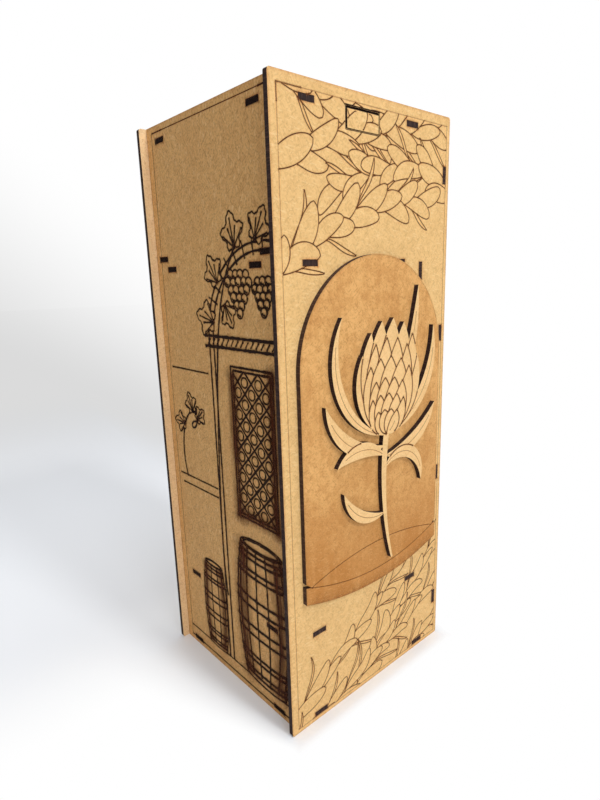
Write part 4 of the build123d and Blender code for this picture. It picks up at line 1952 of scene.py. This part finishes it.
@dataclass
class SideDrawing:
    """Cellar garden burnt into the left side: an arbour with a vine, a bottle rack and barrels.

    Attributes:
        field: rectangle that it stays inside.
        dark: pen of the large shapes.
        bold: pen of the heaviest lines.
        fine: pen of the small shapes.
        hair: pen of the border's upper line.
        dwell: pen of that line's ends, where the beam slows down.
        pale: pen of the border's left line.
        smoke: pen of the burnt smoke in the rack and on the barrels.
        border: rectangle of the border lines.
        plinth: height of the ground line.
        arch: middle of the arbour's arch.
        arch_radii: radii of the arch's two lines.
        slat_radii: distances from its middle where its slats begin and end.
        post: where the two lines of the post stand.
        beam: rectangle of the beam on the post.
        rack_frame: rectangle of the bottle rack.
        rack_cell: distance between the rack's bars.
        bottle: radius of a bottle's end in the rack.
    """

    field: Rect = Rect((-60.5, 59.0), (2.0, 348.0))
    dark: Pen = Pen(Ink.DEEP, 1.6)
    bold: Pen = Pen(Ink.DEEP, 2.2)
    fine: Pen = Pen(Ink.DEEP, 1.2, 0.92)
    hair: Pen = Pen(Ink.FINE, 0.9)
    dwell: Pen = Pen(Ink.FINE, 1.4, 0.9)
    pale: Pen = Pen(Ink.FAINT, 1.4, 0.6)
    smoke: Pen = Pen(Ink.SMOKE, 7.0, 0.8)
    border: Rect = Rect((-57.5, 58.0), (4.2, 346.2))
    plinth: float = 12.5
    arch: Pair = (44.0, 226.0)
    arch_radii: Pair = (52.0, 47.5)
    slat_radii: Pair = (46.0, 55.0)
    post: Pair = (-8.0, -3.5)
    beam: Rect = Rect((-12.0, 58.0), (222.0, 228.0))
    rack_frame: Rect = Rect((12.0, 50.0), (122.0, 212.0))
    rack_cell: float = 12.6
    bottle: float = 2.9

    def borders(self, drawing: Drawing) -> None:
        """Draws the border lines near the panel's edges.

        Args:
            drawing: the drawing that it goes on.
        """
        (left, right), (foot, top) = self.border.u, self.border.v
        drawing.line(self.hair, [(left, top), (right, top)])
        drawing.line(self.dwell, [(left + 0.2, top), (left + 11.5, top)], [(right - 10, top), (right, top)])
        drawing.line(self.pale, [(left - 0.3, foot - 0.2), (left - 0.3, top - 0.2)])
        for height in (foot, self.plinth):
            drawing.line(self.fine, [(left + 0.5, height), (right, height)])

    def arbour(self, drawing: Drawing) -> None:
        """Draws the arbour's arch, its slats, its post and its beam.

        Args:
            drawing: the drawing that it goes on.
        """
        for radius in self.arch_radii:
            drawing.line(self.dark, arc(self.arch, radius, 180, 65))
        for angle in np.arange(78, 176, 9.5):
            drawing.line(self.fine, self.arch + np.outer(self.slat_radii, towards(angle)))
        for u in self.post:
            drawing.line(self.dark, [(u, self.plinth + 0.5), (u, self.arch[1])])
        (left, right), (under, over) = self.beam.u, self.beam.v
        for height in (under, over):
            drawing.line(self.bold, [(left, height), (right, height)])
        for u in np.arange(left + 3, right, 4.6):
            drawing.line(self.fine, [(u, under + 1.5), (u + 2.4, over - 1.5)])

    def vine(self, drawing: Drawing) -> None:
        """Draws the vine on the arch and the grapes under it.

        Args:
            drawing: the drawing that it goes on.
        """
        drawing.line(self.dark, curve([(-6, 60), (-14, 120), (2, 180), (-8, 232), (6, 262), (30, 284)]))
        for stalk, angle, size in (
            ((-2, 236), 165, 13),
            ((4, 258), 120, 12),
            ((22, 276), 100, 13),
            ((40, 279), 60, 12),
            ((10, 246), -60, 10),
        ):
            VineLeaf(stalk, angle, size, self.fine).draw(drawing)
        Grapes((24, 262), 5, 2.7, self.fine, seed=5).draw(drawing)
        Grapes((45, 258), 4, 2.6, self.fine, seed=9).draw(drawing)

    def rack(self, drawing: Drawing) -> None:
        """Draws the bottle rack: a slanted lattice with a bottle's end in each cell.

        Args:
            drawing: the drawing that it goes on.
        """
        lattice = Lattice(self.rack_frame, self.rack_cell, self.dark)
        lattice.draw(drawing)
        (left, right), (foot, top) = self.rack_frame.u, self.rack_frame.v
        drawing.line(self.smoke, [(left + 1, foot), (left + 1, top - 6)])
        drawing.line(self.smoke, [(right - 1, foot), (right - 1, top - 2)])
        drawing.line(self.smoke, [(left + 8, foot + 2), (right - 6, foot + 2)])
        for middle in lattice.cells():
            drawing.line(self.fine, arc(middle, self.bottle, 0, 360, 16))

    def barrels(self, drawing: Drawing) -> None:
        """Draws the small barrel by the post and the large one in front.

        Args:
            drawing: the drawing that it goes on.
        """
        small = Barrel((-22, 13), 62, 10, 13.5, self.fine, self.dark, staves=5)
        large = Barrel((31, 14), 92, 19, 25, self.dark, self.bold)
        for barrel in (small, large):
            barrel.draw(drawing)
            soot = replace(self.smoke, spread=barrel.belly * 0.42)
            for share in (-0.8, 0.72):
                drawing.line(soot, barrel.side(share, low=0.03, high=0.93))

    def ground(self, drawing: Drawing) -> None:
        """Draws the wall and the tendril behind the arbour.

        Args:
            drawing: the drawing that it goes on.
        """
        for left, right, height in ((-55, -12, 205), (-55, -10, 132), (-52, -10, 126)):
            drawing.line(self.fine, [(left, height), (right, height)])
        led = [(-46, 132), (-58, 168), (-34, 204), (-8, 178), (-34, 150), (-44, 172), (-30, 172)]
        tendril = curve(led, 60)
        drawing.line(self.dark, tendril)
        for at, angle, size in ((12, 175, 9), (22, 110, 9), (32, 40, 8)):
            VineLeaf(tuple(tendril[at]), angle, size, self.fine).draw(drawing)

    def build(self) -> None:
        """Burns the drawing into the left panel, and paints shade beside its front edge, where the front
        panel overhangs it.
        """
        face = Side.LEFT.of("left_panel")
        drawing = Drawing(self.field, [slot.corners() for slot in Case().slots(face)])
        for step in (self.borders, self.ground, self.arbour, self.rack, self.vine, self.barrels):
            step(drawing)
        drawing.burn("left_burn", face, "case")
        # Painted shade along the front edge, standing in for the shadow of the front panel's overhang; no
        # lamp casts it.
        edge = np.array([(59.2, 11.5), (59.2, 338.5)])
        soot = Stroke(dense(edge, pitch=2.0), spread=11.0, sides=LEFT_ONLY)
        burn_in("left_soot", face, [soot], PAINTED_EDGE_SHADE, "case", lift=0.02)


@dataclass
class Bell:
    """Score lines and scorched rim of the bell plate.

    Attributes:
        middle: across, the middle of the bell.
        half: half its width.
        shoulder: height where the dome starts.
        notch: height of the notches over the foot.
        notch_depth: how deep the notches are.
        foot: height of the foot's corners.
        sole: height of the middle of the foot's bowed edge.
        notch_ends: how far over the notch's height its upper and its lower side begin.
        crests: heights that lead the two score lines between the notches.
        room: rectangle that these lines stay inside.
        pen: their pen.
        corner: points of the sole's edge that the brown glow leaves out at each end.
    """

    middle: float = 1.0
    half: float = 59.75
    shoulder: float = 211.05
    notch: float = 91.5
    notch_depth: float = 4.0
    foot: float = 82.0
    sole: float = 72.5
    notch_ends: Pair = (3.2, 1.0)
    crests: Pair = (107.9, 71.3)
    room: Rect = Rect((-60.0, 62.0), (60.0, 272.0))
    pen: Pen = Pen(Ink.FINE, 0.8, 0.75)
    corner: int = 6

    def bow(self, half: float, height: float, crest: float, count: int) -> Points:
        """Bowed line from left to right.

        Args:
            half: half its length.
            height: height of its two ends.
            crest: height of the point that leads its middle.
            count: points on it.

        Returns:
            Its points.
        """
        left, right = self.middle - half, self.middle + half
        return curve([(left, height), (self.middle, crest), (right, height)], count)

    def sole_edge(self) -> Points:
        """The foot's bowed lower edge."""
        return self.bow(self.half, self.foot, 2 * self.sole - self.foot, 30)

    def outline(self) -> Points:
        """Outline of the plate: anticlockwise from its right shoulder.

        Returns:
            Its points.
        """
        dome = arc((self.middle, self.shoulder), self.half, 0, 180, 60)
        left = self.middle - self.half
        upper, lower = self.notch_ends
        side = [
            (left, self.notch + upper),
            (left + self.notch_depth, self.notch),
            (left, self.notch + lower),
            (left, self.foot),
        ]
        mirrored = [(2 * self.middle - u, v) for u, v in side[::-1]]
        return np.concatenate([dome, side, self.sole_edge(), mirrored])

    def build(self) -> None:
        """Burns the lines and the rim into the bell plate."""
        face = Side.FRONT.of("bell_plate")
        drawing = Drawing(self.room)
        for crest in self.crests:
            drawing.line(self.pen, self.bow(self.half - self.notch_depth, self.notch, crest, 60))
        drawing.burn("bell_burn", face, "case")
        rim = Stroke(dense(closed(self.outline()), pitch=1.5), spread=1.5, tone=0.45, sides=LEFT_ONLY)
        sole = dense(self.sole_edge(), pitch=1.5)[self.corner:-self.corner]
        brown = Stroke(sole, spread=8.0, tone=0.6, sides=LEFT_ONLY)
        burn_in("bell_scorch", face, [rim, brown], BROWN_GLOW, "case", lift=0.015)


@dataclass(frozen=True)
class Lens:
    """Petal or leaf between two arcs from its root to its tip.

    Each arc passes the line's middle at a distance of its bend to the left. With length l and
    bend b its radius is (l * l / 4 + b * b) / (2 * b).

    Attributes:
        root: where it starts.
        tip: where it ends.
        bends: bends of its two arcs, which are less than 0 to the right.
    """

    root: Pair
    tip: Pair
    bends: Pair

    def edge(self, bend: float, count: int = 30) -> Points:
        """One arc from root to tip.

        Args:
            bend: how far its middle lies to the left of the line.
            count: points on it.

        Returns:
            Its points.
        """
        root, way = np.asarray(self.root), np.subtract(self.tip, self.root)
        length = np.linalg.norm(way)
        along = way / length
        left = np.array([-along[1], along[0]])
        half_turn = 2 * math.atan2(2 * bend, length)
        angle = np.linspace(-half_turn, half_turn, count)
        radius = (length**2 / 4 + bend**2) / (2 * bend)
        reach = length / 2 + radius * np.sin(angle)
        rise = radius * np.cos(angle) - (radius - bend)
        return root + np.outer(reach, along) + np.outer(rise, left)

    def outline(self) -> Points:
        """Closed outline."""
        return np.concatenate([self.edge(self.bends[0]), self.edge(self.bends[1])[-2:0:-1]])

    def vein(self) -> Points:
        """Middle line that stops short of the tip. Its bend is never 0, which no arc can have."""
        return self.edge(sum(self.bends) / 2 + 1e-6)[:25]


@dataclass
class Flower:
    """Score lines that part the petals and leaves of the cut-out flower.

    Its numbers are those of the solid: rows of petals as (count, reach, height, half width, curl)
    in shares of the tallest petal, and leaves as (drop, reach, rise, bends) in shares of the stem.

    Attributes:
        place: where the bud meets the stem.
        petal_height: height of the tallest petal.
        petal_step: angle between two petals of a row, in degrees.
        bud_lean: how far the bud leans to the right, in degrees.
        stem_length: length of the stem.
        stem_bow: how far the stem's middle bends to the left.
        stem_lean: how far its foot lies to the right.
        stem_half: half its width at the bud.
        stem_taper: how much less that is at the foot.
        stem_waist: four times how much slimmer still it is halfway.
        rows: rows of petals, from the back to the front.
        back_leaves: leaves behind the stem.
        front_leaves: leaves in front of those.
        room: rectangle that its lines stay inside.
        margin: how far inside the flower's outline they stay.
        vein_part: the points of a petal's vein that are burnt, from the first up to the second.
        pen: pen of the outlines.
        light_pen: pen of the veins.
    """

    place: Pair = (5.0, 168.0)
    petal_height: float = 68.0
    petal_step: float = 20.5
    bud_lean: float = 5.0
    stem_length: float = 82.0
    stem_bow: float = 4.5
    stem_lean: float = 6.0
    stem_half: float = 2.5
    stem_taper: float = 1.4
    stem_waist: float = 0.6
    rows: Sequence[tuple[int, float, float, float, float]] = (
        (7, 0.41, 1.0, 0.16, 0.15),
        (4, 0.4, 0.84, 0.13, 0.15),
        (5, 0.385, 0.68, 0.135, 0.125),
        (4, 0.34, 0.5, 0.11, 0.115),
        (5, 0.31, 0.36, 0.09, 0.095),
        (4, 0.24, 0.22, 0.072, 0.07),
    )
    back_leaves: Sequence[tuple[float, float, float, Pair]] = (
        (0.0, -0.44, 0.86, (0.29, 0.21)),
        (0.0, 0.54, 0.74, (-0.14, -0.24)),
        (0.0, 0.35, 1.04, (-0.03, -0.12)),
    )
    front_leaves: Sequence[tuple[float, float, float, Pair]] = (
        (0.08, -0.6, 0.3, (0.19, 0.08)),
        (0.16, 0.58, 0.14, (-0.05, -0.16)),
        (0.16, -0.5, -0.14, (-0.03, -0.14)),
        (0.26, 0.42, -0.46, (0.23, 0.13)),
        (0.6, -0.44, -0.34, (0.14, 0.05)),
    )
    room: Rect = Rect((-64.0, 66.0), (66.0, 272.0))
    margin: float = 0.55
    vein_part: tuple[int, int] = (6, 18)
    pen: Pen = Pen(Ink.FINE, 1.25)
    light_pen: Pen = Pen(Ink.FAINT, 0.7, 0.8)

    def stem_middle(self, share: Points | float) -> Points | float:
        """How far the stem's middle lies to the right, at a share of its length."""
        return self.stem_lean * share - 4 * self.stem_bow * share * (1 - share)

    def leaves(self) -> list[Lens]:
        """All the leaves, back to front.

        Returns:
            The leaves.
        """
        size = self.stem_length
        made = []
        for drop, reach, rise, bends in (*self.back_leaves, *self.front_leaves):
            root = (self.stem_middle(drop), -drop * size)
            made.append(Lens(root, (reach * size, rise * size), (bends[0] * size, bends[1] * size)))
        return made

    def petals(self) -> list[Lens]:
        """Petals of all the rows, back to front, before the bud leans.

        Returns:
            The petals.
        """
        made = []
        for count, reach, height, half_width, curl in self.rows:
            for i in range(count):
                angle = math.radians((i - (count - 1) / 2) * self.petal_step)
                across = self.petal_height * math.sin(angle)
                tip = (reach * across, height * self.petal_height * math.cos(angle) ** 0.5)
                half = half_width * self.petal_height * math.cos(angle)
                bend = curl * across
                made.append(Lens((0.0, 0.0), tip, (half - bend, -half - bend)))
        return made

    def placed(self, points: Points, lean: float = 0.0) -> Points:
        """Points of the flower on the face, leaning to the right by an angle in degrees.

        Args:
            points: points of the flower.
            lean: the angle.

        Returns:
            The points on the face.
        """
        turn = math.radians(-lean)
        matrix = np.array([[math.cos(turn), math.sin(turn)], [-math.sin(turn), math.cos(turn)]])
        return points @ matrix + self.place

    def stem(self) -> Points:
        """Outline of the stem.

        Returns:
            Its points.
        """
        share = np.linspace(0, 1, 30)
        middle = self.stem_middle(share)
        half = self.stem_half - self.stem_taper * share - self.stem_waist * share * (1 - share)
        sides = [np.stack([middle + way * half, -share * self.stem_length], axis=1) for way in (-1, 1)]
        return np.concatenate([sides[0], sides[1][::-1]])

    def well_inside(self, points: Points, shapes: Sequence[Points]) -> Points:
        """Which points lie at least the margin inside the flower as a whole.

        Args:
            points: the points.
            shapes: outlines of its petals, leaves and stem.

        Returns:
            True for each such point.
        """
        keep = np.ones(len(points), bool)
        for angle in range(0, 360, 45):
            moved = points + self.margin * towards(angle)
            keep &= np.any([within(moved, shape) for shape in shapes], axis=0)
        return keep

    def build(self) -> None:
        """Burns the lines into the flower, where they lie inside its outline."""
        drawing = Drawing(self.room, pitch=0.5, shortest=3.4)
        for leaf in self.leaves():
            drawing.shape(self.pen, self.placed(leaf.outline()))
            drawing.line(self.light_pen, self.placed(leaf.vein()))
        drawing.shape(self.pen, self.placed(self.stem()))
        first, last = self.vein_part
        for petal in self.petals():
            drawing.shape(self.pen, self.placed(petal.outline(), self.bud_lean))
            drawing.line(self.light_pen, self.placed(petal.vein()[first:last], self.bud_lean))
        shapes = [outline for _, outline in drawing.covers]
        face = Side.FRONT.of("flower_relief")
        drawing.burn("flower_burn", face, "case", lambda points: self.well_inside(points, shapes))


def main() -> None:
    """Builds the looks in order."""
    logging.basicConfig(level=logging.INFO, format="%(message)s")
    for part in (Case(), SlidingBack(), Latch(), Gate(), Bell(), Flower(), FrontDrawing(), SideDrawing()):
        part.build()
    Studio().build()


if __name__ == "__main__":
    main()
